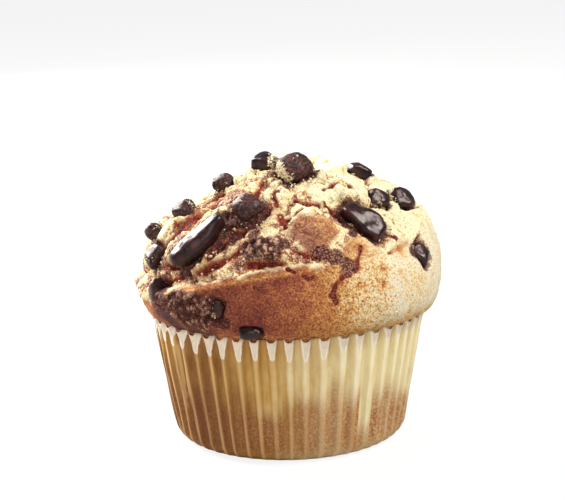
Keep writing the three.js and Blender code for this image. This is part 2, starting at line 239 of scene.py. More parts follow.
def paper_masks(points):
    """The numbers that the paper's colours are worked out from, at each point."""
    count = len(points) // len(column_at)
    t = np.tile(np.abs(across), count)
    at = np.tile(column_at, count)
    own_flute = np.tile(flute, count)
    luck = np.random.default_rng(3).random((FLUTES, 6))[own_flute].T
    z = points[:, 2]
    down = CASE_HEIGHT - z
    # Painted light and shade: the tone follows the side, paler towards the right, darker to the
    # left.
    pale = smooth(0.5 + 0.62 * cosine(at - PALE_AT))
    length = DRY_LENGTH * (1 - DRY_LENGTH_LOST * smooth((cosine(at - PALE_AT) - 0.2) / 0.7))
    length = length * (0.9 + 0.2 * luck[0])
    half = DRY_SHARE + DRY_SHARE_MORE * smooth((cosine(at - WIDE_TIPS_AT) - 0.7) / 0.2)
    half = half + 0.04 * (luck[1] - 0.5)
    # Below them a pale line runs down the ridge, wider on some flutes than on others.
    width = mix(LINE_NARROW, LINE_WIDE, pale) * (0.7 + 0.9 * luck[2] ** 2)
    width = width * (1 + 0.25 * billows(points, 7.0, 41))
    line = smooth((width - t) / LINE_EDGE + 0.5) * smooth((down - length + 2.5) / 2.0)
    line = line * (0.5 + 0.5 * luck[3])
    radius = np.hypot(points[:, 0], points[:, 1])
    crease = np.zeros_like(at)
    for row in range(count):
        part = slice(row * len(column_at), (row + 1) * len(column_at))
        crease[part] = crease_rise(at[part], radius[part].mean(), z[part].mean()) / 0.4
    # Painted highlight: the long creases get bright lines where light catches their folds.
    line = np.maximum(line, 0.9 * smooth((crease - 0.45) / 0.4))
    # The cake browned most low on the wall, up to a different height behind each panel.
    reach = BROWN_REACH + BROWN_REACH_LUCK * (luck[4] - 0.5) + BROWN_REACH_LEFT * (1 - pale)
    front = own_flute < len(FRONT_BROWN)
    reach[front] = np.array(FRONT_BROWN)[own_flute[front]]
    reach = reach + BROWN_UNEVENNESS * billows(points, 4.5, 42)
    brown = smooth((reach - z) / BROWN_FADE + 0.40) * (0.45 + 0.55 * smooth((z - 0.6) / 3.0))
    brown = brown * (0.76 + 0.24 * luck[5])
    # Just under the rim the panels take the colour of the crust that lies over them.
    crusty = smooth((CRUSTY_SPAN - down) / 5.0) * smooth((t - 0.2) / 0.15)
    crusty = crusty * mix(1.0, CRUSTY_ON_PALE, pale)
    pale = np.clip(pale + 0.3 * smooth((cosine(at - PALE_STRETCH_AT) - 0.975) / 0.02), 0, 1)
    return {"across": t, "dry_length": length, "dry_half": half, "pale": pale, "line": line,
            "brown": brown, "crusty": crusty}


outer = paper_points(0.0, CORNER_ROWS, WALL_ROWS)
inner = paper_points(PAPER, 3, INSIDE_ROWS)[::-1]
paper_rings = outer + inner
paper_xyz = np.concatenate(paper_rings)
paper_faces = sheet_faces(paper_rings).tolist()
columns = len(column_at)
paper_faces.append(list(range(columns))[::-1])
last = len(paper_xyz) - columns
paper_faces.append(list(range(last, last + columns)))
paper = mesh_piece("fluted_paper", paper_xyz, paper_faces, paper_masks(paper_xyz))


def node(tree, kind, inputs=None, **settings):
    """A shader node. An input is a plain value, or the socket that feeds it."""
    made = tree.nodes.new(kind)
    for key, value in settings.items():
        setattr(made, key, value)
    for key, value in (inputs or {}).items():
        if isinstance(value, bpy.types.NodeSocket):
            tree.links.new(value, made.inputs[key])
        else:
            made.inputs[key].default_value = value
    return made


def blend(tree, share, a, b):
    """The colour a, turning to b as the share goes from 0 to 1."""
    return node(tree, "ShaderNodeMix", {0: share, 6: a, 7: b}, data_type="RGBA").outputs[2]


def calc(tree, operation, a, b):
    """One value worked out from two, each a plain number or the socket that feeds it."""
    return node(tree, "ShaderNodeMath", {0: a, 1: b}, operation=operation).outputs[0]


def times(tree, a, b):
    return calc(tree, "MULTIPLY", a, b)


def add(tree, total, *others):
    for other in others:
        total = calc(tree, "ADD", total, other)
    return total


def spread(tree, value, low, high, to_low=0.0, to_high=1.0):
    """The value carried from one range to another, and held inside it."""
    made = node(tree, "ShaderNodeMapRange", {0: value, 1: low, 2: high, 3: to_low, 4: to_high})
    return made.outputs[0]


def ramp(tree, value, stops):
    """A colour picked by the value from a row of (place, colour) stops."""
    made = node(tree, "ShaderNodeValToRGB", {0: value})
    elements = made.color_ramp.elements
    elements[0].position, elements[0].color = stops[0][0], (*stops[0][1], 1)
    elements[1].position, elements[1].color = stops[-1][0], (*stops[-1][1], 1)
    for place, colour in stops[1:-1]:
        elements.new(place).color = (*colour, 1)
    return made.outputs[0]


def mask(tree, name):
    return node(tree, "ShaderNodeAttribute", attribute_name=name).outputs["Fac"]


def new_group(name, inputs):
    """A shader group with number inputs, a mask and a height as outputs, and places in mm."""
    tree = bpy.data.node_groups.new(name, "ShaderNodeTree")
    for key, value in inputs.items():
        socket = tree.interface.new_socket(key, in_out="INPUT", socket_type="NodeSocketFloat")
        socket.default_value = value
    tree.interface.new_socket("Mask", in_out="OUTPUT", socket_type="NodeSocketFloat")
    tree.interface.new_socket("Height", in_out="OUTPUT", socket_type="NodeSocketFloat")
    given = tree.nodes.new("NodeGroupInput").outputs
    place = node(tree, "ShaderNodeTexCoord").outputs["Object"]
    in_mm = node(tree, "ShaderNodeVectorMath", {0: place, 3: 1000.0}, operation="SCALE").outputs[0]
    return tree, given, in_mm


def close_group(tree, out_mask, out_height):
    end = tree.nodes.new("NodeGroupOutput")
    tree.links.new(out_mask, end.inputs["Mask"])
    tree.links.new(out_height, end.inputs["Height"])
    return tree


def build_mottle():
    """Cloudy patches of a given size in mm, drawn out along Z by the stretch."""
    tree, given, place = new_group("mottle", {"Size": 2.0, "Contrast": 1.0, "Stretch": 1.0})
    shrink = calc(tree, "DIVIDE", 1.0, given["Stretch"])
    drawn = node(tree, "ShaderNodeCombineXYZ", {0: 1.0, 1: 1.0, 2: shrink}).outputs[0]
    place = node(tree, "ShaderNodeVectorMath", {0: place, 1: drawn}, operation="MULTIPLY").outputs[0]
    scale = calc(tree, "DIVIDE", 1.0, given["Size"])
    cloud = node(tree, "ShaderNodeTexNoise", {"Vector": place, "Scale": scale, "Detail": 5.0,
                                              "Roughness": 0.62}).outputs[0]
    strength = times(tree, given["Contrast"], 3.0)
    strong = times(tree, calc(tree, "SUBTRACT", cloud, 0.5), strength)
    return close_group(tree, spread(tree, add(tree, strong, 0.5), 0.0, 1.0), cloud)


mottle = build_mottle()


def place_group(tree, group, **values):
    made = tree.nodes.new("ShaderNodeGroup")
    made.node_tree = group
    for key, value in values.items():
        made.inputs[key].default_value = value
    return made.outputs["Mask"], made.outputs["Height"]


def new_material(name):
    made = bpy.data.materials.new(name)
    made.use_nodes = True
    return made, made.node_tree, made.node_tree.nodes["Principled BSDF"]


def add_bump(tree, shader, height, strength, distance_mm):
    made = node(tree, "ShaderNodeBump", {"Height": height, "Strength": strength,
                                         "Distance": distance_mm * 0.001})
    tree.links.new(made.outputs[0], shader.inputs["Normal"])


def dry_tip(tree):
    """1 on the dry tips of the ridges, and how near to their edge a place is."""
    place = node(tree, "ShaderNodeTexCoord").outputs["Object"]
    z = node(tree, "ShaderNodeSeparateXYZ", {0: place}).outputs[2]
    down = calc(tree, "SUBTRACT", CASE_HEIGHT, times(tree, z, 1000.0))
    length = mask(tree, "dry_length")
    t = mask(tree, "across")
    run = spread(tree, calc(tree, "DIVIDE", down, length), 0.0, 1.0)
    taper = calc(tree, "SUBTRACT", DRY_SHARE_END, mask(tree, "dry_half"))
    half = add(tree, mask(tree, "dry_half"), times(tree, taper, run))
    ragged, _ = place_group(tree, mottle, Size=0.9)
    inside = add(tree, calc(tree, "SUBTRACT", half, t), spread(tree, ragged, 0, 1, -0.02, 0.02))
    rounded = times(tree, times(tree, t, t), DRY_END_ROUNDING)
    above_end = calc(tree, "SUBTRACT", calc(tree, "SUBTRACT", length, down), rounded)
    share = times(tree, spread(tree, inside, -0.012, 0.018), spread(tree, above_end, -0.2, 0.2))
    return share, spread(tree, inside, 0.1, 0.02)


# Colours of the paper, from the toasted left side, darkened by painted shade, to the pale right
# side, lightened by painted light.
PANEL_COLOURS = [
    (0.0, (0.26, 0.100, 0.013)),
    (0.5, (0.59, 0.355, 0.095)),
    (1.0, (0.84, 0.74, 0.43)),
]
UNDER_CRUST = (0.30, 0.095, 0.028, 1), (0.60, 0.36, 0.14, 1)
BROWNED_WALL = (0.165, 0.040, 0.007, 1), (0.40, 0.135, 0.035, 1)
# Colours of the pale lines down the ridges and of the painted highlight on the creases.
LINE_COLOURS = [
    (0.0, (0.84, 0.52, 0.18)),
    (0.4, (0.74, 0.50, 0.22)),
    (0.6, (0.82, 0.66, 0.36)),
    (1.0, (0.92, 0.86, 0.66)),
]
BROWNED_LINE = (0.56, 0.34, 0.15, 1)
# The dry tips of the ridges: greyer inside, which is painted shade, and whiter along their edge,
# which is painted highlight.
TIP_COLOURS = (0.82, 0.72, 0.58, 1), (0.98, 0.93, 0.83, 1)


def paper_material():
    made, tree, shader = new_material("greaseproof_paper")
    cloud, _ = place_group(tree, mottle, Size=3.2, Stretch=3.0)
    speck, fine = place_group(tree, mottle, Size=0.55, Contrast=1.2)
    pale = mask(tree, "pale")
    toned = add(tree, pale, spread(tree, cloud, 0, 1, -0.16, 0.16))
    panel = ramp(tree, toned, PANEL_COLOURS)
    crust = blend(tree, pale, *UNDER_CRUST)
    colour = blend(tree, times(tree, mask(tree, "crusty"), 0.8), panel, crust)
    toast_and_shade = blend(tree, pale, *BROWNED_WALL)
    toast_and_shade = blend(tree, spread(tree, speck, 0.3, 1.0, 0.0, 0.5), toast_and_shade, panel)
    colour = blend(tree, mask(tree, "brown"), colour, toast_and_shade)
    line = blend(tree, mask(tree, "brown"), ramp(tree, toned, LINE_COLOURS), BROWNED_LINE)
    colour = blend(tree, times(tree, mask(tree, "line"), 0.85), colour, line)
    # The dry tips: painted shade inside them and painted highlight along their edges.
    dry, rim = dry_tip(tree)
    colour = blend(tree, dry, colour, blend(tree, rim, *TIP_COLOURS))
    tree.links.new(colour, shader.inputs["Base Color"])
    shader.inputs["Roughness"].default_value = 0.5
    shader.inputs["Specular IOR Level"].default_value = 0.35
    add_bump(tree, shader, fine, 0.3, 0.1)
    return made


paper.data.materials.append(paper_material())
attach(paper, "root")
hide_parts("paper_case")

# ---- Cake ----
# Muffin batter baked in the case. It rose over the case's edge as a dome with a smooth,
# fine-pored brown lip below, and broke open above it into pale crumb with browned cracks.
# Chocolate in it coloured the crumb where it lies under the surface.
GAP = 0.3
CROWN_R = 35.7
CROWN_WIDEST_Z = 38.0
CROWN_TOP_Z = 66.0
DOME_RISE_POWER = 1.8
DOME_ROUND_POWER = 0.62
LIP_Z = CASE_HEIGHT + GAP
LIP_TURN = 0.8
UNDERCUT = 3.4
UNDERCUT_SPAN = 9.0
BLOCKS = 120
BLOCK_TURN = 137.508
BLOCK_SCATTER_AT, BLOCK_SCATTER_Z = 40, 2.5
BLOCK_STEP = 2.4
BLOCK_BLEND = 0.26
CREASE_DEPTH = 2.2
SMOOTH_BAND = 0.12
LEDGE_Z, LEDGE_FIRST, LEDGE_FIRST_AT, LEDGE_SECOND, LEDGE_SECOND_AT = 43.6, 2.8, 10, 3.4, -86
LEDGE_BOLDEST_AT, LEDGE_FROM, LEDGE_OVER = -150, 0.14, 0.33
LEDGE_OUT, LEDGE_IN, LEDGE_FADE = 0.8, 1.3, 4.5
LIP_CALM = 3.0
MESH_STEP = 0.34

# Broad swells and hollows of the crown: direction, height, width and rise.
SWELLS = [
    (0, 54, 11.4, 3.5),
    (-4, 58, 8.8, -2.4),
    (174, 61, 14, -2.3),
    (-164, 41, 9, -3.7),
    (-4, 65, 6, -2.9),
    (159, 62.4, 13.5, -2.3),
    (-99, 51, 4.0, 1.5),
    (-72, 47.5, 4.0, 1.1),
    (-130, 38, 4.5, 1.3),
    (-119, 34, 3.2, 0.9),
    (75, 53, 10, 1.8),
    (130, 46, 7, 1.2),
]

# Places where the skin stayed whole, so that the blocks hardly show: direction, height, width.
WHOLE_SKIN = [(-77, 53.5, 6), (-58, 48, 8), (-38, 46, 9), (-14, 46, 8), (50, 46, 7)]
WHOLE_SKIN_CALM = 0.8


def crown_radius(z):
    z = np.asarray(z, dtype=float)
    below = np.clip((CROWN_WIDEST_Z - z) / UNDERCUT_SPAN, 0, 1)
    under = CROWN_R - UNDERCUT * (1 - np.sqrt(1 - below * below))
    above = np.clip((z - CROWN_WIDEST_Z) / (CROWN_TOP_Z - CROWN_WIDEST_Z), 0, 1)
    over = CROWN_R * (1 - above**DOME_RISE_POWER) ** DOME_ROUND_POWER
    return np.where(z < CROWN_WIDEST_Z, under, over)


def crown_point(at, z):
    r = crown_radius(z)
    turn = np.radians(at)
    height = np.asarray(z, dtype=float) + 0 * turn
    return np.stack([r * np.cos(turn), r * np.sin(turn), height], axis=-1)


def crown_normal(at, z):
    step = 0.05
    low = np.minimum(z, CROWN_TOP_Z - 2 * step)
    slope = (crown_radius(low + step) - crown_radius(low)) / step
    turn = np.radians(at)
    out = np.stack([np.cos(turn), np.sin(turn), -slope + 0 * turn], axis=-1)
    return out / np.linalg.norm(out, axis=-1, keepdims=True)


block_seats = []
block_raised = []
for i in range(BLOCKS):
    level = mix(LIP_Z, CROWN_TOP_Z, (i + 0.5) / BLOCKS)
    seat_z = level + BLOCK_SCATTER_Z * (draw() - 0.5)
    seat_at = i * BLOCK_TURN + BLOCK_SCATTER_AT * (draw() - 0.5)
    block_seats.append(crown_point(seat_at, min(seat_z, CROWN_TOP_Z - 0.1)))
    block_raised.append(BLOCK_STEP * (draw() - 0.5))
block_seats = np.array(block_seats)
block_raised = np.array(block_raised)


def ledge_height(at):
    first = LEDGE_FIRST * cosine(at - LEDGE_FIRST_AT)
    return LEDGE_Z + first + LEDGE_SECOND * cosine(2 * (at - LEDGE_SECOND_AT))


def near(points, at, z, width):
    """1 at a place of the crown, falling to 0 over about the width."""
    away = points - crown_point(float(at), float(min(z, CROWN_TOP_Z)))
    return np.exp(-np.sum(away * away, axis=-1) / (width * width))


def nearest(points, spots):
    return np.max([near(points, *spot) for spot in spots], axis=0)


def relief(points, at):
    """How far the broken crust stands out from the plain crown."""
    away = np.sum((points[:, None, :] - block_seats[None, :, :]) ** 2, axis=2)
    weights = np.exp(-BLOCK_BLEND * away)
    total = weights.sum(axis=1)
    raised = (weights @ block_raised) / total
    crease = 1 - weights.max(axis=1) / total
    above = points[:, 2] - ledge_height(at)
    calm = 1 - WHOLE_SKIN_CALM * smooth(2 * nearest(points, WHOLE_SKIN))
    broken = mix(SMOOTH_BAND, 1.0, smooth(above / 2 + 0.5)) * calm
    out = broken * (raised - CREASE_DEPTH * crease)
    strength = smooth((cosine(at - LEDGE_BOLDEST_AT) - LEDGE_FROM) / LEDGE_OVER)
    side = np.where(above < 0, LEDGE_OUT, -LEDGE_IN)
    out += strength * side * np.exp(-np.abs(above) / LEDGE_FADE) * smooth(np.abs(above))
    for swell_at, swell_z, width, rise in SWELLS:
        out += rise * near(points, swell_at, swell_z, width)
    return out * smooth((points[:, 2] - LIP_Z) / LIP_CALM)


def crust_point(at, z):
    at, z = np.atleast_1d(float(at)), np.atleast_1d(float(z))
    plain = crown_point(at, z)
    return (plain + crown_normal(at, z) * relief(plain, at)[:, None])[0]


# Chocolate chunks: direction and height of the seat, length, width, height, turn of the length
# from the level line, lean of it out of the crust, and share of the height sunk in the crumb.
CHUNKS = [
    (-131, 50.9, 16.0, 6.3, 6.3, 59, 2, 0.42),
    (-112.3, 57.6, 6.6, 7.0, 6.2, 62, 0, 0.42),
    (-159.2, 61.7, 5.0, 4.2, 4.4, 55, 0, 0.12),
    (-129.6, 64.9, 6.2, 4.6, 4.0, 4, 0, 0.1),
    (-77.3, 63.7, 8.8, 7.4, 5.6, 30, 0, 0.12),
    (8.2, 60.7, 4.4, 5.4, 3.4, 0, 0, 0.2),
    (-27.8, 56.9, 5.0, 4.8, 4.6, -42, 0, 0.6),
    (-9.5, 54.5, 7.0, 5.4, 4.6, -20, 0, 0.52),
    (-50, 54.2, 11.2, 6.4, 5.8, -65, 3, 0.52),
    (-25.7, 45.0, 5.8, 4.8, 4.6, -70, 0, 0.76),
    (-157.5, 55.6, 5.0, 4.0, 4.0, 42, 0, 0.44),
    (-177, 49.3, 5.6, 3.9, 4.6, 6, 0, 0.42),
    (-160, 45.9, 5.8, 4.6, 4.4, 82, 0, 0.48),
    (-103.6, 32.7, 5.4, 3.2, 3.8, 3, 0, 0.66),
    (-150.7, 38.2, 5.4, 4.6, 4.6, 55, 0, 0.8),
    (-115.5, 37.8, 4.2, 2.8, 4.0, 77, 0, 0.84),
    (46, 51.0, 8.6, 6.2, 5.2, 35, 0, 0.58),
    (74, 53.4, 12.6, 6.0, 5.8, -28, 2, 0.5),
    (104, 53.0, 7.0, 6.0, 5.2, 10, 0, 0.58),
    (24, 46.4, 6.4, 5.4, 5.0, 50, 0, 0.66),
    (126, 46.5, 8.4, 6.0, 5.2, 62, 0, 0.56),
    (149, 45.5, 6.0, 5.0, 4.8, -15, 0, 0.58),
    (96, 44.0, 6.8, 5.2, 5.0, -70, 0, 0.66),
    (62, 41.0, 7.4, 5.4, 5.0, 20, 0, 0.62),
]

# How deep the crumb falls away round the chunks that lie in a hole, and elsewhere.
HOLES = {7: 1.1, 8: 0.9, 9: 0.8, 10: 1.2, 15: 1.3, 16: 1.1, 17: 0.8, 20: 0.9, 23: 0.9}
MOAT = 0.4
# How wide the crumb is darkened round a chunk, partly by chocolate and partly by painted
# shadow of the chunk, in half sizes of that chunk.
DARK_RINGS = {1: 0.26, 2: 0.3, 4: 0.3, 5: 0.24, 7: 0.34, 8: 0.3, 9: 0.2, 10: 0.44, 11: 0.3, 12: 0.4,
              13: 0.4, 15: 0.4, 16: 0.34, 17: 0.3, 20: 0.34, 23: 0.34}
DARK_RING = 0.16
# How high crumb is heaped round a chunk, and round one that sits high on the crust.
BANK, BANK_UNDER_PERCHED = 0.25, 0.9


def chunk_place(at, z, length, width, height, turn, lean, sunk):
    """Where a chunk sits: its length along the crust and its height out of it."""
    out = Vector(crown_normal(float(at), float(z)))
    level = Vector((-math.sin(math.radians(at)), math.cos(math.radians(at)), 0))
    basis = Matrix((level, out.cross(level), out)).transposed().to_4x4()
    basis = basis @ Matrix.Rotation(math.radians(turn), 4, "Z")
    basis = basis @ Matrix.Rotation(math.radians(-lean), 4, "Y")
    basis.translation = Vector(crust_point(at, z)) + out * height * (0.5 - sunk)
    return basis


chunk_places = [np.array(chunk_place(*chunk)) for chunk in CHUNKS]


def chunk_reach(points, place, chunk):
    """Below 1 inside a chunk's squared-off ball, 1 on its skin, and more outside."""
    half = np.array(chunk[2:5]) / 2
    local = (points - place[:3, 3]) @ place[:3, :3] / half
    return np.sum(local**4, axis=1) ** 0.25


# Cracks and grooves of the crust, as runs of (direction, height), with depth and width.
GROOVES = [
    ([(-156, 46.6), (-153, 48.4), (-149.4, 50.9), (-146.6, 54.3), (-144, 56.9), (-147.6, 59.4)],
     1.5, 1.7),
    ([(-127, 45.0), (-120, 46.6), (-114.3, 48.3), (-109, 49.8), (-105, 51.6)], 1.2, 1.3),
    ([(-124, 48.6), (-119.6, 50.9), (-115.3, 52.9), (-112, 54.2)], 1.6, 1.2),
    ([(-104, 47.3), (-92.5, 47.6)], 0.9, 0.8),
    ([(-151, 39.9), (-143, 41.6), (-137, 43.2)], 1.2, 1.0),
    ([(-152, 44.0), (-140, 45.6), (-131, 46.6)], 0.9, 0.8),
    ([(-110.5, 60.2), (-112, 62.6)], 0.9, 0.7),
    ([(-98.5, 61.2), (-96.5, 58.8)], 1.0, 0.7),
    ([(-103, 56.6), (-98.5, 58.4)], 1.0, 0.7),
    ([(-93.5, 57.4), (-90, 54.9)], 0.9, 0.7),
    ([(-93, 55.6), (-86, 56.6), (-80, 57.8)], 0.8, 0.6),
    ([(-83, 59.6), (-78, 58.8), (-70, 58.2)], 0.8, 0.6),
    ([(-62, 60.4), (-46, 61.0), (-32, 61.3)], 0.8, 0.6),
    ([(-42, 59.8), (-45, 57.9)], 0.8, 0.7),
    ([(-63, 57.2), (-61, 55.2)], 0.8, 0.8),
    ([(-47, 47.2), (-40, 47.6), (-33, 48.2)], 0.7, 0.55),
    ([(-60, 47.4), (-52, 47.8)], 0.5, 0.5),
    ([(-88, 50.3), (-82, 49.2), (-77, 48.6)], 0.7, 0.6),
    ([(-170, 55.0), (-160, 58.6), (-150, 60.6)], 1.0, 0.8),
    ([(172, 47.0), (160, 48.6), (146, 47.4)], 1.0, 0.9),
    ([(150, 60.0), (138, 59.4), (120, 60.6)], 1.0, 0.9),
    ([(112, 50.0), (98, 48.8), (84, 50.2)], 0.9, 0.8),
    ([(82, 57.5), (62, 59.6), (50, 57.0)], 0.9, 0.8),
    ([(40, 53.0), (30, 51.6), (16, 52.8)], 0.7, 0.7),
    ([(140, 62.4), (100, 63.8), (60, 63.0)], 0.8, 0.7),
]

# Thin stains where melted chocolate ran along the skin: runs of (direction, height), and width.
STREAKS = [
    ([(-67.4, 44.6), (-70.4, 43.8), (-72.9, 42.6), (-74.1, 40.9), (-73.0, 39.1)], 0.8),
    ([(-84.6, 45.2), (-82.2, 44.4), (-80.8, 44.7)], 0.55),
    ([(-89.6, 46.2), (-87.0, 45.7)], 0.4),
    ([(-103.0, 43.6), (-101.8, 43.0)], 0.4),
    ([(-64.0, 45.9), (-62.6, 46.8), (-61.8, 47.4)], 1.1),
    ([(-61.8, 47.4), (-60.0, 48.4), (-58.6, 49.6)], 0.5),
    ([(-107.0, 56.6), (-103.4, 55.6), (-100.4, 57.6)], 0.8),
    ([(-96.0, 61.0), (-98.4, 59.4), (-101.0, 57.8)], 0.5),
    ([(-66.0, 58.4), (-62.6, 56.4), (-60.6, 53.6)], 0.6),
    ([(-40.0, 49.6), (-42.4, 51.4)], 0.5),
    ([(-64.0, 64.0), (-56.0, 63.2), (-46.0, 63.4)], 0.4),
    ([(-30.0, 62.4), (-18.0, 61.2), (-6.0, 60.8)], 0.45),
    ([(128.0, 52.0), (120.0, 50.4)], 0.7),
    ([(66.0, 47.0), (58.0, 46.0)], 0.6),
    ([(172.0, 52.0), (166.0, 50.0)], 0.6),
]


def run_distance(points, run):
    """Distance from each point to a line of places on the crown."""
    seats = np.array([crown_point(float(at), float(z)) for at, z in run])
    closest = np.full(len(points), 1e9)
    for a, b in zip(seats, seats[1:]):
        along = b - a
        t = np.clip(((points - a) @ along) / (along @ along), 0, 1)
        closest = np.minimum(closest, np.linalg.norm(points - a - t[:, None] * along, axis=1))
    return closest


def groove_depths(points):
    """How near each point is to a groove's middle, as depth in mm and as a share."""
    depth = np.zeros(len(points))
    share = np.zeros(len(points))
    wander = 0.55 * billows(points, 1.7, 51) + 0.25 * billows(points, 0.8, 52)
    for run, deep, width in GROOVES:
        fall = np.exp(-(((run_distance(points, run) + wander) / width) ** 2))
        depth = np.maximum(depth, deep * fall)
        share = np.maximum(share, fall)
    return depth, share


def streak_share(points):
    wander = 0.5 * billows(points, 1.5, 53) + 0.3 * billows(points, 0.7, 54)
    shares = [smooth(1.25 - (run_distance(points, run) + wander) / width) for run, width in STREAKS]
    return np.max(shares, axis=0)


def grain_distance(points, size, seed):
    """Distance, in grain sizes, to the middle of the nearest grain."""
    place = points / size
    base = np.floor(place)
    closest = np.full(len(points), 9.0)
    for offset in product((-1, 0, 1), repeat=3):
        cell = base + offset
        middle = cell + np.stack([cell_number(cell, seed + k) for k in range(3)], axis=1)
        closest = np.minimum(closest, np.linalg.norm(place - middle, axis=1))
    return closest


# Lumps where crumb coats a buried chunk, and dark patches, some stained by chocolate just under
# them and some painted shadow beside a chunk: direction, height and width.
LUMPS = [
    (-103, 51.0, 3.0),
    (-96, 50.8, 3.1),
    (-143, 37.6, 2.8),
    (-134, 36.8, 3.2),
    (-127, 36.2, 3.2),
    (-121, 35.4, 2.7),
    (-118, 38.2, 2.8),
    (-124, 39.2, 2.6),
    (-131, 39.6, 2.8),
    (-128, 34.6, 1.9),
    (-122, 33.9, 1.8),
    (142, 49.0, 2.8),
    (70, 47.4, 3.0),
]
STAINS_AND_SHADOWS = [
    (-105, 53.2, 1.8),
    (-115.3, 53.0, 2.2),
    (-120, 50.8, 1.7),
    (-91.2, 50.9, 1.8),
    (-96, 48.2, 1.5),
    (-160.6, 47.9, 1.8),
    (-134, 45.0, 1.3),
    (-76, 49.4, 2.3),
    (-71, 48.4, 2.3),
    (-67.5, 46.4, 2.2),
    (-113, 34.8, 1.8),
    (-146, 35.6, 4.2),
    (-138, 32.8, 3.8),
    (-129, 32.2, 3.2),
    (-146, 41.2, 2.2),
    (-142, 38.6, 2.2),
    (-168, 47.8, 1.8),
    (-116, 35.4, 1.8),
    (-121, 32.8, 2.2),
    (-31.8, 46.0, 1.5),
    (-60.7, 54.1, 1.1),
    (-58.9, 52.3, 1.1),
    (170, 46.0, 2.6),
    (112, 56.0, 2.4),
    (40, 42.0, 2.2),
    (88, 38.0, 2.0),
]

# Pale raised slabs of crumb between the cracks: direction, height, width.
SLABS = [
    (-160.0, 51.0, 2.1),
    (-156.5, 53.6, 2.0),
    (-153.0, 56.2, 1.6),
    (-100.0, 60.0, 2.4),
    (-66.0, 60.6, 2.6),
    (-22.0, 50.6, 2.6),
    (60.0, 55.0, 2.4),
    (136.0, 53.0, 2.6),
]

# Places where the whole skin is beaded with fine crumb: direction, height, width.
BEADED = [
    (-72, 47.5, 5.5),
    (-80, 52.5, 6.0),
    (-64, 41.0, 7.0),
    (-54, 38.5, 7.5),
    (100, 42.0, 9.0),
    (20, 40.0, 8.0),
]

# Small golden spots of the skin: direction, height, width.
GOLDEN_SPOTS = [
    (-51.6, 44.8, 1.2),
    (-53.3, 41.9, 1.2),
    (-44.0, 43.1, 0.8),
    (-12.9, 43.4, 0.6),
    (-39.3, 33.5, 1.1),
    (-58.0, 49.2, 1.3),
    (-40.0, 47.6, 1.6),
    (64, 40.0, 1.0),
    (130, 41.0, 1.1),
]

# Smooth places without crags: direction, height, width.
ISLANDS = [
    (-77, 53.5, 6.0),
    (-58, 47.5, 6.5),
    (-38, 44.5, 7.0),
    (-14, 43.5, 8.0),
    (10, 43.0, 9.0),
    (50, 46.0, 7.0),
    (120, 44.0, 6.0),
    (-53, 51.5, 3.5),
]
ISLAND_CALM, ISLAND_FROM, ISLAND_SPAN = 0.9, 0.34, 0.25
BREAK_WANDER, BREAK_RAGGEDNESS, BREAK_SPAN = 0.9, 0.6, 1.6
# At the far left the crust broke open nearly down to the case.
LEFT_BREAK, LEFT_BREAK_AT = 4.0, -178


def crag_share(points, at):
    """1 where the crust is broken open, 0 where its skin is whole."""
    above = points[:, 2] - ledge_height(at) + BREAK_WANDER * billows(points, 3.2, 61)
    above = above + BREAK_RAGGEDNESS * billows(points, 1.3, 60)
    above = above + LEFT_BREAK * smooth((cosine(at - LEFT_BREAK_AT) - 0.80) / 0.15)
    share = smooth(above / BREAK_SPAN + 0.5)
    whole = nearest(points, ISLANDS) + 0.16 * billows(points, 2.6, 62)
    return share * (1 - ISLAND_CALM * smooth((whole - ISLAND_FROM) / ISLAND_SPAN))


def spot_share(points, spots, low, over, seed):
    share = nearest(points, spots) + 0.26 * billows(points, 1.6, seed)
    return smooth((share - low) / over)


# Rings of points from the lip to the top, about one mesh step apart each way.
fine_z = np.linspace(LIP_Z + LIP_TURN, CROWN_TOP_Z, 9000)
run = np.concatenate([[0], np.cumsum(np.hypot(np.diff(fine_z), np.diff(crown_radius(fine_z))))])
crown_rows = np.interp(np.arange(0, run[-1] - MESH_STEP / 2, MESH_STEP), run, fine_z)
round_steps = 2 * math.pi * crown_radius(crown_rows) / MESH_STEP
ring_sizes = [max(8, int(round(float(steps)))) for steps in round_steps]
ring_at = np.concatenate([360.0 * np.arange(n) / n for n in ring_sizes])
ring_z = np.repeat(crown_rows, ring_sizes)

# The lip under the crown: a quarter round from inside the case's edge out to the crown.
LIP_ROWS = 14
LIP_TUCK, LIP_TUCK_AT, LIP_TUCK_Z = 1.5, -125, 35.5


def lip_tuck(at, z):
    """The crown draws in towards the case below its widest, most at the left front."""
    facing = 0.5 + 0.5 * cosine(at - LIP_TUCK_AT)
    down = (LIP_TUCK_Z - z) / (LIP_TUCK_Z - LIP_Z - LIP_TURN)
    return LIP_TUCK * facing * np.clip(down, 0, 1) ** 2


plain = crown_point(ring_at, ring_z)
normal = crown_normal(ring_at, ring_z)
out = relief(plain, ring_at)
crag = crag_share(plain, ring_at)
lump = spot_share(plain, LUMPS, 0.34, 0.22, 64)
stain_and_shade = spot_share(plain, STAINS_AND_SHADOWS, 0.28, 0.40, 63)
slab = spot_share(plain, SLABS, 0.30, 0.25, 65)
beaded = spot_share(plain, BEADED, 0.20, 0.50, 67)
streak = streak_share(plain)
groove_depth, groove = groove_depths(plain)
surface = plain + normal * out[:, None]
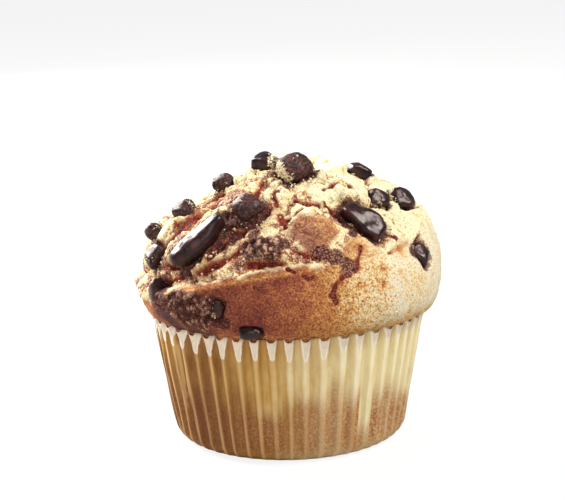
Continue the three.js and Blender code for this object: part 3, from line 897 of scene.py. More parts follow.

# Round each chunk the crumb falls away in a moat and is heaped up outside it, both measured in
# the chunk's half sizes. Next to the chunk it is darkened, partly by melted chocolate and partly by
# painted shadow of the chunk.
MOAT_AT, MOAT_SPAN = 1.10, 0.16
BANK_AT, BANK_SPAN, BANK_CLOSER_TO_PERCHED = 1.5, 0.24, 0.25
DARK_RING_FROM = 1.06
SEAT_EDGE, SEAT_SPAN = 1.05, 0.15
PERCHED_SUNK, PERCHED_SPAN = 0.34, 0.2
near_chunk = np.full(len(plain), 9.0)
hole = np.zeros(len(plain))
bank = np.zeros(len(plain))
dark_ring = np.zeros(len(plain))
uneven_seat = 0.10 * billows(plain, 2.2, 66) + 0.07 * billows(plain, 0.9, 67)
for number, (place, chunk) in enumerate(zip(chunk_places, CHUNKS), start=1):
    reach = chunk_reach(surface, place, chunk)
    near_chunk = np.minimum(near_chunk, reach)
    perched = smooth((PERCHED_SUNK - chunk[7]) / PERCHED_SPAN)
    moat = np.exp(-(((reach + uneven_seat - MOAT_AT) / MOAT_SPAN) ** 2))
    hole = np.maximum(hole, (1 - perched) * HOLES.get(number, MOAT) * moat)
    past_bank = reach + 2.4 * uneven_seat - BANK_AT + BANK_CLOSER_TO_PERCHED * perched
    heap = np.exp(-((past_bank / BANK_SPAN) ** 2))
    bank = np.maximum(bank, mix(BANK, BANK_UNDER_PERCHED, perched) * heap)
    width = DARK_RINGS.get(number, DARK_RING)
    # Painted shadow and chocolate stains: the dark ring next to each chunk.
    inside_ring = DARK_RING_FROM + width + uneven_seat - reach
    dark_ring = np.maximum(dark_ring, smooth(inside_ring / width))
seat = smooth((SEAT_EDGE - near_chunk) / SEAT_SPAN)

# The crust changes round the crown: it is brownest at the left front, partly baking and partly
# painted shade, and roughest there, and its ledge is sharpest there.
BROWNEST_AT, ROUGHEST_AT, LEDGE_EDGE_AT, LOW_LEFT_AT, DULL_BEADS_AT = -125, -140, -114, -138, -132

# Broken crumb: soft knobs of three sizes with sharp creases between them. Its outlines wander,
# and here and there a crease opens into a crack.
KNOB_SHARES, KNOB_MIDDLE = (0.50, 0.34, 0.20, 0.05), 0.32
BROAD_RISE, KNOB_RISE, GRAIN_RISE, CRACK_DEPTH, VEIN_DEPTH = 0.45, 1.25, 0.22, 0.40, 0.22
CRACK_SPAN, VEIN_SPAN = 0.10, 0.06
wandering = plain.copy()
for axis in range(3):
    wandering[:, axis] += billows(plain, 3.2, 84 + axis) + 0.32 * billows(plain, 0.9, 87 + axis)
coarse = np.abs(billows(wandering, 3.8, 71))
middling = np.abs(billows(wandering, 1.9, 72))
small = np.abs(billows(wandering, 1.0, 73))
tiny = billows(plain, 0.55, 74)
knob = sum(share * part for share, part in zip(KNOB_SHARES, (coarse, middling, small, tiny)))
opened = smooth((billows(plain, 7.0, 76) + 0.35) / 0.5)
crack = opened * (1 - smooth(coarse / CRACK_SPAN))
vein = 1 - smooth(np.abs(billows(wandering, 4.6, 77)) / VEIN_SPAN)
vein = vein * smooth(billows(plain, 5.0, 78) / 0.3)
rough_patch = smooth((billows(plain, 6.5, 68) + 0.25 + 0.5 * cosine(ring_at - ROUGHEST_AT)) / 0.7)
grain_rise = 0.5 - grain_distance(wandering, 1.35, 75)
detail = crag * (
    BROAD_RISE * billows(plain, 6.0, 81)
    + KNOB_RISE * (knob - KNOB_MIDDLE)
    + GRAIN_RISE * rough_patch * grain_rise
    - CRACK_DEPTH * crack
    - VEIN_DEPTH * vein
)

# A crumbly edge runs along the ledge of the left front, where the crust broke away from the lip.
EDGE_UP, EDGE_SPAN = 0.35, 0.9
EDGE_RISE, EDGE_KNOBS, EDGE_GRAINS = 0.35, 0.7, 0.6
above_ledge = ring_z - ledge_height(ring_at)
edge_side = smooth((cosine(ring_at - LEDGE_EDGE_AT) - 0.80) / 0.10)
wavy = 0.6 * billows(plain, 2.4, 69) + 0.6 * billows(plain, 1.2, 59)
edge = edge_side * np.exp(-(((above_ledge - EDGE_UP + wavy) / EDGE_SPAN) ** 2))
detail += edge * (EDGE_RISE + EDGE_KNOBS * (knob - 0.3) + EDGE_GRAINS * grain_rise)

# Crumb over buried chocolate is beaded, slabs stand up whole between the cracks, and the skin
# of the rest only swells and dimples.
BEAD_SIZE, SMALL_BEAD_SIZE = 2.0, 1.0
LUMP_RISE, BEAD_RISE, SMALL_BEAD_RISE = 0.35, 1.2, 0.9
SLAB_RISE, SLAB_KNOBS, SLAB_SHARE = 0.75, 0.3, 0.8
SKIN_SWELL, SKIN_RIPPLE, DIMPLE_DEPTH, DIMPLE_FROM = 0.20, 0.06, 0.35, 0.55
STREAK_DEPTH, SEAT_DEPTH, SEAT_CALM = 0.25, 0.5, 0.8
bead_place = plain + 0.2 * (wandering - plain)
bead_away = grain_distance(bead_place, BEAD_SIZE, 79)
small_bead_away = grain_distance(bead_place, SMALL_BEAD_SIZE, 82)
beads = BEAD_RISE * (0.5 - bead_away) + SMALL_BEAD_RISE * (0.5 - small_bead_away)
detail = mix(detail, LUMP_RISE + beads, lump)
detail = mix(detail, SLAB_RISE + SLAB_KNOBS * (knob - 0.3), SLAB_SHARE * slab * crag)
whole = (1 - crag) * (1 - lump)
dimple = np.clip(np.abs(billows(plain, 1.3, 70)) - DIMPLE_FROM, 0, 1)
swell = SKIN_SWELL * billows(plain, 4.0, 96) + SKIN_RIPPLE * billows(plain, 1.5, 83)
detail += whole * (swell - DIMPLE_DEPTH * dimple)
detail += whole * beaded * (0.30 * np.abs(billows(wandering, 1.5, 94)) - 0.10)
detail -= groove_depth * (0.5 + 0.5 * crag)
detail -= STREAK_DEPTH * streak * (1 - crag)
detail = detail * (1 - SEAT_CALM * seat) - SEAT_DEPTH * seat - hole
detail += bank * np.clip(0.2 + crag + lump, 0, 1)
detail *= smooth((ring_z - LIP_Z) / 1.6)
tuck = lip_tuck(ring_at, ring_z)
crown_xyz = plain + normal * (out + detail)[:, None]
turn = np.radians(ring_at)
crown_xyz[:, 0] -= tuck * np.cos(turn)
crown_xyz[:, 1] -= tuck * np.sin(turn)

# Painted shade: hollows, cracks, gaps between beads and moats round the chunks are coloured
# darker and redder than the knobs' tips, most at the left front; low at the left it is toasting.
HOLLOW_OF_CRACK, HOLLOW_OF_VEIN, HOLLOW_OF_KNOB, HOLLOW_OF_MOAT = 0.95, 0.85, 1.15, 0.5
HOLLOW_AT_BACK, TOASTED_LOW_LEFT, LOW_LEFT_Z = 0.32, 0.12, 61
EDGE_TIP, DULL_BEADS = 0.45, 0.6
between_knobs = smooth((0.36 - knob) / 0.34)
hollow = HOLLOW_OF_CRACK * crack + HOLLOW_OF_VEIN * vein + HOLLOW_OF_KNOB * between_knobs
hollow = mix(np.clip(hollow, 0, 1), smooth((bead_away + small_bead_away - 0.55) / 0.6), lump)
hollow *= (1 - 0.8 * edge) * (1 - 0.8 * slab) * np.clip(crag + lump, 0, 1)
hollow *= mix(HOLLOW_AT_BACK, 1.0, smooth(cosine(ring_at - BROWNEST_AT) + 0.3))
hollow = np.clip(hollow + HOLLOW_OF_MOAT * smooth(hole / 0.5), 0, 1)
low_left = smooth((cosine(ring_at - LOW_LEFT_AT) - 0.6) / 0.3) * smooth((LOW_LEFT_Z - ring_z) / 6.0)
hollow = np.clip(hollow + TOASTED_LOW_LEFT * low_left * crag, 0, 1)
# Painted highlight: knob and bead tips, slabs and the crumbly edge are coloured paler.
bead_tip = smooth((0.80 - bead_away) / 0.3) * smooth((0.60 - small_bead_away) / 0.24)
bead_tip *= mix(1.0, DULL_BEADS, smooth((cosine(ring_at - DULL_BEADS_AT) - 0.8) / 0.1))
tip = mix(smooth((knob - 0.36) / 0.30) * crag, bead_tip, lump)
tip = np.clip(tip + EDGE_TIP * edge * smooth((knob - 0.1) / 0.2) + slab * crag, 0, 1)


class Rings:
    """Rings of points that are joined one to the next into a closed skin."""

    def __init__(self):
        self.points = []
        self.starts = []
        self.sizes = []

    def add(self, ring):
        self.starts.append(sum(self.sizes))
        self.sizes.append(len(ring))
        self.points.append(np.asarray(ring, dtype=float))

    def faces(self):
        faces = []
        for row in range(len(self.sizes) - 1):
            n, m = self.sizes[row], self.sizes[row + 1]
            lower, upper = self.starts[row], self.starts[row + 1]
            i = j = 0
            while i < n or j < m:
                a = lower + i % n
                b = upper + j % m
                if j >= m or (i < n and (i + 1) * m <= (j + 1) * n):
                    i += 1
                    faces.append((a, lower + i % n, b))
                else:
                    j += 1
                    faces.append((a, upper + j % m, b))
        return faces


def round_ring(radius, z, count):
    turn = 2 * math.pi * np.arange(count) / count
    return np.stack([radius * np.cos(turn), radius * np.sin(turn), np.full(count, z)], axis=1)


# Rings of the part inside the case: radius, height and number of points.
HIDDEN_RINGS = [
    (FLAT_R - 1, 0.6, 90),
    (float(wall_radius(3.0)) - 1.4, 3.3, 180),
    (CASE_TOP_R - FLUTE_DEPTH_TOP - 1.2, CASE_HEIGHT - 4.0, 300),
]
# Near the rim the cake fills every flute, so its side follows the inside of the paper: how far
# each ring lies below the paper's edge, and how far in from the paper.
FLUTED_RINGS = [(1.6, 0.7), (0.7, 0.35), (0.1, 0.22)]
LIP_START_Z, LIP_ROUNDNESS = CASE_HEIGHT + 0.4, 0.75
LIP_SWELL, LIP_RIPPLE = 0.30, 0.16
cake_rings = Rings()
cake_rings.add(np.array([[0.0, 0.0, HIDDEN_RINGS[0][1]]]))
for radius, height, count in HIDDEN_RINGS:
    cake_rings.add(round_ring(radius, height, count))
first_ring = ring_sizes[0]
lip_at = ring_at[:first_ring]
crown_foot = crown_xyz[:first_ring]
foot_r = np.hypot(crown_foot[:, 0], crown_foot[:, 1])
turn = np.radians(lip_at)
rim_r = np.interp(lip_at, column_at, np.hypot(inner[0][:, 0], inner[0][:, 1]), period=360)
for below, inset in FLUTED_RINGS:
    ring_r = rim_r - inset
    ring_heights = np.full(first_ring, CASE_HEIGHT - below)
    cake_rings.add(np.stack([ring_r * np.cos(turn), ring_r * np.sin(turn), ring_heights], axis=1))
for share in np.linspace(0, 1, LIP_ROWS + 1)[:-1]:
    outward = math.sin(share * math.pi / 2)
    upward = (1 - math.cos(share * math.pi / 2)) ** LIP_ROUNDNESS
    lip_r = mix(rim_r, foot_r, outward)
    lip_z = mix(LIP_START_Z, crown_foot[:, 2], upward)
    ring = np.stack([lip_r * np.cos(turn), lip_r * np.sin(turn), lip_z], axis=1)
    uneven = LIP_SWELL * billows(ring, 3.4, 91) + LIP_RIPPLE * billows(ring, 1.3, 92)
    ring[:, 2] += share * uneven
    cake_rings.add(ring)
hidden_count = sum(cake_rings.sizes)
start = 0
for size in ring_sizes:
    cake_rings.add(crown_xyz[start:start + size])
    start += size
cake_rings.add(np.array([crown_xyz[start - 1] * [0, 0, 1] + [0, 0, 0.02]]))
cake_xyz = np.concatenate(cake_rings.points)

# The skin is pale at the right and back and brown at the left front: partly baking, partly
# painted light on the lit right and painted shade on the left. Browner places of it: direction,
# height, width and how much browner.
PALEST_TONE, BROWN_AND_SHADED_SIDE, GOLDEN_SPOT, TONE_UNEVENNESS = 0.06, 0.80, 0.32, 0.08
BROWNER_PLACES = [
    (-77, 53.5, 6.5, 0.22),
    (-86, 49.5, 4.0, 0.14),
    (-64, 50.0, 4.0, 0.26),
    (-45, 41.0, 9.0, 0.10),
    (100, 44.0, 10.0, 0.30),
    (150, 40.0, 9.0, 0.25),
    (40, 40.0, 9.0, 0.25),
]
# Just under the ledge the skin tore off lighter, in a thin golden line.
TORN_TONE, TORN_SHARE, TORN_BELOW, TORN_SPAN = 0.44, 0.75, 0.7, 0.55
# The lowest part of the lip, sheltered by the tin, stayed an even golden brown.
SHELTERED_TONE, SHELTERED_SIDE, SHELTERED_SHARE = 0.46, 0.14, 0.8
SHELTERED_Z, SHELTERED_SPAN = 33.4, 2.4


def browning_and_side_shade(points, at):
    """How brown the whole skin is, from pale (0) to dark (1), with painted shade on the left side
    and painted light on the right.
    """
    z = points[:, 2]
    # Painted light and shade: this side term darkens the left and pales the right, on top of
    # browning.
    tone = PALEST_TONE + BROWN_AND_SHADED_SIDE * smooth((cosine(at - BROWNEST_AT) - 0.15) / 0.85)
    for brown_at, brown_z, width, browner in BROWNER_PLACES:
        tone += browner * near(points, brown_at, brown_z, width)
    tone += GOLDEN_SPOT * nearest(points, GOLDEN_SPOTS)
    tone += TONE_UNEVENNESS * billows(points, 5.0, 95)
    torn = np.exp(-(((z - ledge_height(at) + TORN_BELOW) / TORN_SPAN) ** 2))
    torn *= smooth((cosine(at - LEDGE_EDGE_AT) - 0.8) / 0.1)
    tone = mix(tone, TORN_TONE, TORN_SHARE * torn)
    golden = SHELTERED_TONE + SHELTERED_SIDE * smooth(cosine(at - BROWNEST_AT))
    sheltered = smooth((SHELTERED_Z - z) / SHELTERED_SPAN)
    return np.clip(mix(tone, golden, SHELTERED_SHARE * sheltered), 0, 1)


def crown_mask(values):
    """A mask of the crown for the whole cake: 0 below it, and its last value on the top."""
    return np.concatenate([np.zeros(hidden_count), values, values[-1:]])


def lip_mask(values):
    """The same, but the lip takes the values of the crown's lowest ring, for all its rows."""
    rows = hidden_count - LIP_ROWS * first_ring
    lowest = np.tile(values[:first_ring], LIP_ROWS)
    return np.concatenate([np.zeros(rows), lowest, values, values[-1:]])


cake_at = np.degrees(np.arctan2(cake_xyz[:, 1], cake_xyz[:, 0]))
wet_groove = groove * (0.35 + 0.65 * np.maximum(crag, stain_and_shade))
# In these masks the dark round the chunks is stains and painted shadow, the hollows' dark is painted
# shade, the tips' paling is painted highlight, and the side tone has painted light and shade.
cake = mesh_piece("muffin_cake", cake_xyz, cake_rings.faces(), {
    "crag": crown_mask(crag),
    "hollow": crown_mask(hollow),
    "tip": crown_mask(tip),
    "groove": crown_mask(np.maximum.reduce([wet_groove, 0.7 * crag * vein, 0.9 * streak])),
    "stain_and_shade": lip_mask(np.clip(stain_and_shade * (1 - lump) + 0.5 * streak + 0.95 * dark_ring, 0, 1)),
    "lump": lip_mask(lump),
    "beaded": crown_mask(beaded),
    "bake_and_shade": browning_and_side_shade(cake_xyz, cake_at),
})


def build_pores():
    """Small pits and grains of a given size in mm, as in baked crumb."""
    tree, given, place = new_group("pores", {"Size": 0.6, "Share": 0.5})
    scale = calc(tree, "DIVIDE", 1.0, given["Size"])
    cells = node(tree, "ShaderNodeTexVoronoi", {"Vector": place, "Scale": scale, "Randomness": 1.0})
    pit = spread(tree, cells.outputs["Distance"], given["Share"], 0.0)
    rough = node(tree, "ShaderNodeTexNoise", {"Vector": place, "Scale": scale, "Detail": 4.0,
                                              "Roughness": 0.7}).outputs[0]
    return close_group(tree, times(tree, pit, spread(tree, rough, 0.42, 0.60)), rough)


pores = build_pores()


def build_beading():
    """Fine beads of crumb of a given size in mm: the mask is the gaps between them."""
    tree, given, place = new_group("beading", {"Size": 0.7})
    scale = calc(tree, "DIVIDE", 1.0, given["Size"])
    cells = node(tree, "ShaderNodeTexVoronoi", {"Vector": place, "Scale": scale, "Randomness": 1.0})
    away = cells.outputs["Distance"]
    return close_group(tree, spread(tree, away, 0.36, 0.66), calc(tree, "SUBTRACT", 1.0, away))


beading = build_beading()
BEADING_SIZE = 0.56

# Colours of the whole skin, from the palest to the darkest: baked browning, with painted light
# and shade of its sides.
SKIN_COLOURS = [
    (0.0, (0.78, 0.74, 0.60)),
    (0.14, (0.77, 0.67, 0.43)),
    (0.28, (0.73, 0.53, 0.26)),
    (0.40, (0.64, 0.37, 0.13)),
    (0.50, (0.56, 0.26, 0.070)),
    (0.74, (0.32, 0.088, 0.045)),
    (0.92, (0.20, 0.045, 0.034)),
    (1.0, (0.11, 0.022, 0.02)),
]
# Colours of the broken crumb, from its pale inside and painted highlights to its toasted hollows
# and painted shade, and of its grit.
CRUMB_COLOURS = [
    (0.0, (0.96, 0.91, 0.59)),
    (0.30, (0.90, 0.77, 0.40)),
    (0.50, (0.62, 0.36, 0.14)),
    (0.72, (0.32, 0.105, 0.036)),
    (1.0, (0.13, 0.03, 0.016)),
]
PALE_GRIT, DARK_GRIT = (0.93, 0.84, 0.68, 1), (0.30, 0.10, 0.035, 1)
# Colours that melted chocolate gave the crumb: in a crack; over a lump, from its gaps in painted
# shade to its tips in painted highlight; and in the dark patches and rings round the chunks, which
# are partly painted shadow, and on their beads. The fringes are the colours round them.
CRACK_COLOURS = [
    (0.15, (0.036, 0.005, 0.006)),
    (0.55, (0.22, 0.020, 0.015)),
    (1.0, (0.44, 0.09, 0.04)),
]
CRACK_FRINGE = (0.48, 0.17, 0.06, 1)
LUMP_COLOURS = [
    (0.0, (0.026, 0.009, 0.010)),
    (0.35, (0.15, 0.053, 0.038)),
    (1.0, (0.62, 0.40, 0.28)),
]
STAIN_AND_SHADE_COLOURS = (0.026, 0.007, 0.010, 1), (0.20, 0.06, 0.05, 1)
BEAD_IN_STAIN_AND_SHADE = (0.50, 0.27, 0.17, 1)
STAIN_AND_SHADE_FRINGE = (0.34, 0.11, 0.05, 1)


def crumb_colour(tree):
    """Colour of baked crumb from its masks: whole skin, broken crumb, cracks and chocolate."""
    cloud, _ = place_group(tree, mottle, Size=3.0)
    patch, _ = place_group(tree, mottle, Size=1.1, Contrast=1.2)
    speck, _ = place_group(tree, mottle, Size=0.42, Contrast=1.4)
    grit, _ = place_group(tree, mottle, Size=0.36, Contrast=2.6)
    pit, _ = place_group(tree, pores, Size=0.70, Share=0.42)
    gap, _ = place_group(tree, beading, Size=BEADING_SIZE)
    bake_and_shade, beaded, tips = mask(tree, "bake_and_shade"), mask(tree, "beaded"), mask(tree, "tip")
    # The whole skin, mottled, pitted and beaded.
    uneven = add(tree, spread(tree, speck, 0, 1, -0.16, 0.16),
                 spread(tree, cloud, 0, 1, -0.07, 0.07),
                 spread(tree, patch, 0, 1, -0.07, 0.07))
    ragged_gap = times(tree, gap, spread(tree, patch, 0.2, 0.9, 0.2, 1.0))
    beads = times(tree, beaded, spread(tree, ragged_gap, 0, 1, -0.13, 0.20))
    baked = add(tree, bake_and_shade, uneven, times(tree, pit, 0.5), beads)
    skin = ramp(tree, baked, SKIN_COLOURS)
    # The broken crumb, with painted shade darkest in its hollows and painted highlight palest on its
    # tips, with grit in it.
    toast_and_shade = add(tree, times(tree, bake_and_shade, 0.42), times(tree, mask(tree, "hollow"), 0.9),
                spread(tree, cloud, 0.25, 1.0, -0.17, 0.16),
                spread(tree, patch, 0.2, 1.0, -0.18, 0.19),
                spread(tree, speck, 0.0, 1.0, -0.14, 0.12))
    toast_and_shade = calc(tree, "SUBTRACT", toast_and_shade, times(tree, tips, 0.24))
    crumb = ramp(tree, toast_and_shade, CRUMB_COLOURS)
    crumb = blend(tree, spread(tree, grit, 0.72, 0.95, 0.0, 0.6), crumb, PALE_GRIT)
    crumb = blend(tree, spread(tree, grit, 0.18, 0.02, 0.0, 0.42), crumb, DARK_GRIT)
    colour = blend(tree, mask(tree, "crag"), skin, crumb)
    # The fringe of the stains and painted shadows, the cracks, the lumps with their painted shade
    # and highlight, and then the stains and painted shadows themselves.
    stain_or_shade = add(tree, mask(tree, "stain_and_shade"), spread(tree, speck, 0, 1, -0.25, 0.25))
    colour = blend(tree, spread(tree, stain_or_shade, 0.08, 0.40, 0.0, 0.6), colour, STAIN_AND_SHADE_FRINGE)
    wet = times(tree, mask(tree, "groove"), spread(tree, speck, 0.15, 0.6, 1.0, 0.75))
    red = ramp(tree, times(tree, add(tree, grit, patch), 0.5), CRACK_COLOURS)
    colour = blend(tree, spread(tree, wet, 0.12, 0.34, 0.0, 0.6), colour, CRACK_FRINGE)
    colour = blend(tree, spread(tree, wet, 0.28, 0.56, 0.0, 0.97), colour, red)
    # Painted shade and highlight: lumps are near-black in the gaps between beads and pale on the
    # tips.
    coated = add(tree, tips, spread(tree, grit, 0, 1, -0.2, 0.25))
    coated_share = times(tree, mask(tree, "lump"), spread(tree, patch, 0.0, 1.0, 0.8, 1.0))
    colour = blend(tree, coated_share, colour, ramp(tree, coated, LUMP_COLOURS))
    dark = blend(tree, spread(tree, grit, 0.5, 1.0), *STAIN_AND_SHADE_COLOURS)
    bead = times(tree, beaded, spread(tree, gap, 0.4, 0.0, 0.0, 0.6))
    dark = blend(tree, bead, dark, BEAD_IN_STAIN_AND_SHADE)
    return blend(tree, spread(tree, stain_or_shade, 0.25, 0.85, 0.0, 0.94), colour, dark)


def crumb_material():
    made, tree, shader = new_material("baked_crumb")
    tree.links.new(crumb_colour(tree), shader.inputs["Base Color"])
    shader.inputs["Roughness"].default_value = 0.65
    shader.inputs["Specular IOR Level"].default_value = 0.14
    pit, rough = place_group(tree, pores, Size=0.5, Share=0.42)
    _, fine = place_group(tree, mottle, Size=0.3)
    _, bead = place_group(tree, beading, Size=BEADING_SIZE)
    height = add(tree, rough, times(tree, fine, 0.5))
    height = calc(tree, "SUBTRACT", height, times(tree, pit, 0.5))
    height = add(tree, height, times(tree, mask(tree, "beaded"), bead))
    add_bump(tree, shader, height, 0.8, 0.30)
    return made


baked_crumb = crumb_material()
cake.data.materials.append(baked_crumb)
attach(cake, "root")
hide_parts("cake")

# ---- Chocolate chunks ----
# Broken pieces of dark chocolate, softened by the oven: flat faces with rounded edges, set in
# the crust with crumbs baked onto some of them.
FACE_CUTS = 19
# Flat faces square to the sides, corners and edges of a block: how far they lean off at random,
# and their nearest and farthest distance from the chunk's middle, in half sizes.
SIDE_FACES, CORNER_FACES, EDGE_FACES = (0.10, 0.90, 1.0), (0.16, 1.06, 1.36), (0.14, 0.94, 1.2)
EDGES_BROKEN = 8
# How sharp the edges between those faces are, how matte the chocolate is, and how bare it is of
# crumb, by the number of the chunk. The others take the values below, and aren't bare.
HARDNESS = {1: 8.0, 2: 5.0, 3: 8.0, 5: 6.0, 6: 20.0, 9: 20.0, 10: 8.0, 14: 5.0, 18: 8.0}
MATTE = {2: 0.55, 3: 0.6, 5: 0.7, 11: 0.4, 12: 0.45, 13: 0.3, 14: 0.1, 15: 0.3, 16: 0.2, 19: 0.6}
BARE = {1: 0.1, 2: 0.2, 3: 0.1, 5: 0.1, 6: 0.15, 9: 0.15, 10: 0.3, 14: 0.4, 15: 0.5, 16: 0.4}
HARDNESS_ELSEWHERE, MATTE_ELSEWHERE = 14.0, 0.05
# Dents and pits of the faces, in mm, and the crumb that covers a chunk: on all of it, more
# where it is matte, in patches, and low down where it meets the crust.
DENT_DEPTH, PIT_DEPTH = 0.26, 0.14
DUST, DUST_ON_MATTE, DUST_PATCHES, DUST_LOW_DOWN = 0.14, 0.2, 0.26, 0.35
# Each chunk takes its dents from a place of its own, this many mm on from the last.
DENTS_APART = 40
# The side of a chunk that crumb baked onto: which way it faces, and how much of it is covered.
COVERED = {
    2: ((-0.7, -0.2, 0.7), 0.45),
    4: ((0.8, -0.4, 0.3), 0.45),
    5: ((-0.85, -0.3, -0.35), 0.65),
    16: ((-0.9, -0.2, -0.4), 0.5),
}
# A large flat that the chunk broke along: which way it faces, and its distance from the
# chunk's middle in half sizes.
FLATS = {
    1: ((-0.60, -0.14, 0.79), 0.80),
    7: ((0.37, -0.74, 0.56), 0.84),
    8: ((0.37, -0.74, 0.56), 0.80),
    9: ((0.37, -0.74, 0.56), 0.78),
    10: ((0.40, -0.75, 0.52), 0.84),
    18: ((0.10, 0.60, 0.79), 0.84),
}


def ball_template(cuts):
    """Directions and faces of a cube cut into a grid, which every chunk is shaped from."""
    made = bmesh.new()
    bmesh.ops.create_cube(made, size=2.0)
    bmesh.ops.subdivide_edges(made, edges=made.edges[:], cuts=cuts, use_grid_fill=True)
    made.verts.ensure_lookup_table()
    directions = np.array([v.co[:] for v in made.verts])
    faces = [[v.index for v in f.verts] for f in made.faces]
    made.free()
    # Equal steps of angle rather than of length, so that the ball's faces are even.
    directions = np.tan(directions * math.pi / 4)
    return directions / np.linalg.norm(directions, axis=1, keepdims=True), faces


ball_directions, ball_faces = ball_template(FACE_CUTS)
random = np.random.default_rng(7)


def broken_face(direction, lean, closest, farthest):
    return direction + random.normal(0, lean, 3), random.uniform(closest, farthest)


def chunk_planes(number, place, half):
    """Normals and distances of the flat faces of one broken chunk, for half sizes of 1."""
    sides = [np.eye(3)[i] * s for i in range(3) for s in (-1, 1)]
    corners = [np.array(c) / math.sqrt(3) for c in product((-1, 1), repeat=3)]
    signs = product((-1, 1), (-1, 1), range(3))
    edges = [np.roll([a, b, 0], k) / math.sqrt(2) for a, b, k in signs]
    chosen = random.permutation(len(edges))[:EDGES_BROKEN]
    planes = [broken_face(n, *SIDE_FACES) for n in sides]
    planes += [broken_face(n, *CORNER_FACES) for n in corners]
    planes += [broken_face(edges[i], *EDGE_FACES) for i in chosen]
    if number in FLATS:
        facing, distance = FLATS[number]
        planes.append((np.array(facing) @ place[:3, :3] * half, distance))
    normals = np.array([n / np.linalg.norm(n) for n, _ in planes])
    return normals, np.array([d for _, d in planes])


def chunk_shape(chunk, place, number):
    """Points of one chunk in place, and how much of each point's surface crumb covers."""
    half = np.array(chunk[2:5]) / 2
    normals, distances = chunk_planes(number, place, half)
    hardness = HARDNESS.get(number, HARDNESS_ELSEWHERE)
    facing = np.maximum(ball_directions @ normals.T, 0) / distances
    radius = np.sum(facing**hardness, axis=1) ** (-1 / hardness)
    local = ball_directions * radius[:, None] * half
    own = local + DENTS_APART * number
    dents = DENT_DEPTH * billows(own, 2.4, 101) + PIT_DEPTH * np.abs(billows(own, 1.1, 102))
    local += ball_directions * dents[:, None]
    own = local + DENTS_APART * number
    points = local @ place[:3, :3].T + place[:3, 3]
    patches = billows(own, 1.9, 103) + 0.6 * billows(own, 0.8, 104)
    low = smooth(chunk[7] * chunk[4] - half[2] - local[:, 2] + 0.2)
    side, share = COVERED.get(number, ((0, 0, 0), 0))
    covered = share * smooth(2 * (points - place[:3, 3]) @ side / half[1] - 0.9)
    return points, DUST_PATCHES * patches + DUST_LOW_DOWN * low + covered


# Colours of the chocolate, of its matte bloom, and of the crumb baked onto it.
COCOA_COLOURS = (0.006, 0.0022, 0.0026, 1), (0.040, 0.008, 0.010, 1)
BLOOM = (0.20, 0.070, 0.06, 1)
DUST_COLOURS = (0.24, 0.085, 0.045, 1), (0.90, 0.76, 0.52, 1)


def chocolate_material():
    made, tree, shader = new_material("dark_chocolate")
    cloud, cloud_height = place_group(tree, mottle, Size=2.4)
    speck, fine = place_group(tree, mottle, Size=0.5, Contrast=1.4)
    matte = mask(tree, "matte")
    cocoa = blend(tree, spread(tree, cloud, 0.3, 1.0), *COCOA_COLOURS)
    bloom = times(tree, matte, spread(tree, speck, 0.45, 0.8, 0.0, 0.85))
    cocoa = blend(tree, bloom, cocoa, BLOOM)
    crumb = blend(tree, spread(tree, speck, 0.0, 0.7), *DUST_COLOURS)
    dusted = add(tree, mask(tree, "dust"), spread(tree, speck, 0, 1, -0.22, 0.22))
    dusted = spread(tree, dusted, 0.5, 0.66)
    tree.links.new(blend(tree, dusted, cocoa, crumb), shader.inputs["Base Color"])
    rough = add(tree, spread(tree, cloud, 0, 1, 0.24, 0.38), times(tree, matte, 0.26))
    rough = calc(tree, "MAXIMUM", rough, times(tree, dusted, 0.7))
    tree.links.new(rough, shader.inputs["Roughness"])
    shader.inputs["Specular IOR Level"].default_value = 0.45
    shader.inputs["Specular Tint"].default_value = (1.0, 0.86, 0.84, 1)
    grainy = times(tree, fine, add(tree, dusted, matte, 0.12))
    add_bump(tree, shader, add(tree, times(tree, cloud_height, 0.6), grainy), 0.5, 0.3)
    return made


dark_chocolate = chocolate_material()
chunk_skins = []
for number, (chunk, place) in enumerate(zip(CHUNKS, chunk_places), start=1):
    points, coat = chunk_shape(chunk, place, number)
    matte = MATTE.get(number, MATTE_ELSEWHERE)
    dust = np.clip(DUST + DUST_ON_MATTE * matte + coat - BARE.get(number, 0), 0, 1)
    chunk_skins.append((points, place[:3, 3], dust))
    piece = mesh_piece(f"chocolate_{number:02d}", points, ball_faces,
                       {"dust": dust, "matte": np.full(len(points), matte)})
    piece.data.materials.append(dark_chocolate)
    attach(piece, "root")
    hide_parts(f"chunk_{number:02d}")

# ---- Loose crumbs ----
# Crumbs of the same cake that broke off the crust as it split, and lie baked onto it and
# round the chocolate.
CRUMBS = 900
# Their half sizes in mm. The higher the power, the more of them are small.
CRUMB_SMALLEST, CRUMB_LARGEST, SMALL_POWER = 0.14, 0.42, 2.5
# How many lie on a chunk, by its number, and on each of the others.
CHUNK_CRUMBS = {1: 8, 2: 40, 3: 20, 4: 16, 5: 60, 6: 8, 7: 12, 8: 14, 9: 8, 14: 4, 15: 6, 16: 8}
CHUNK_CRUMBS_ELSEWHERE = 16
# How thickly they lie on the crust away from the chunks, and how much more on a heap beside one.
ON_CRUST, ON_HEAP = 0.3, 4.0
# Each is squashed or stretched at random, and stands out by a share of its size.
SHAPE_FROM, SHAPE_TO, STANDS_OUT = 0.6, 1.3, 0.3


def crumb_mesh():
    made = bmesh.new()
    bmesh.ops.create_icosphere(made, subdivisions=1, radius=1.0)
    points = np.array([v.co[:] for v in made.verts])
    faces = np.array([[v.index for v in f.verts] for f in made.faces])
    made.free()
    return points, faces


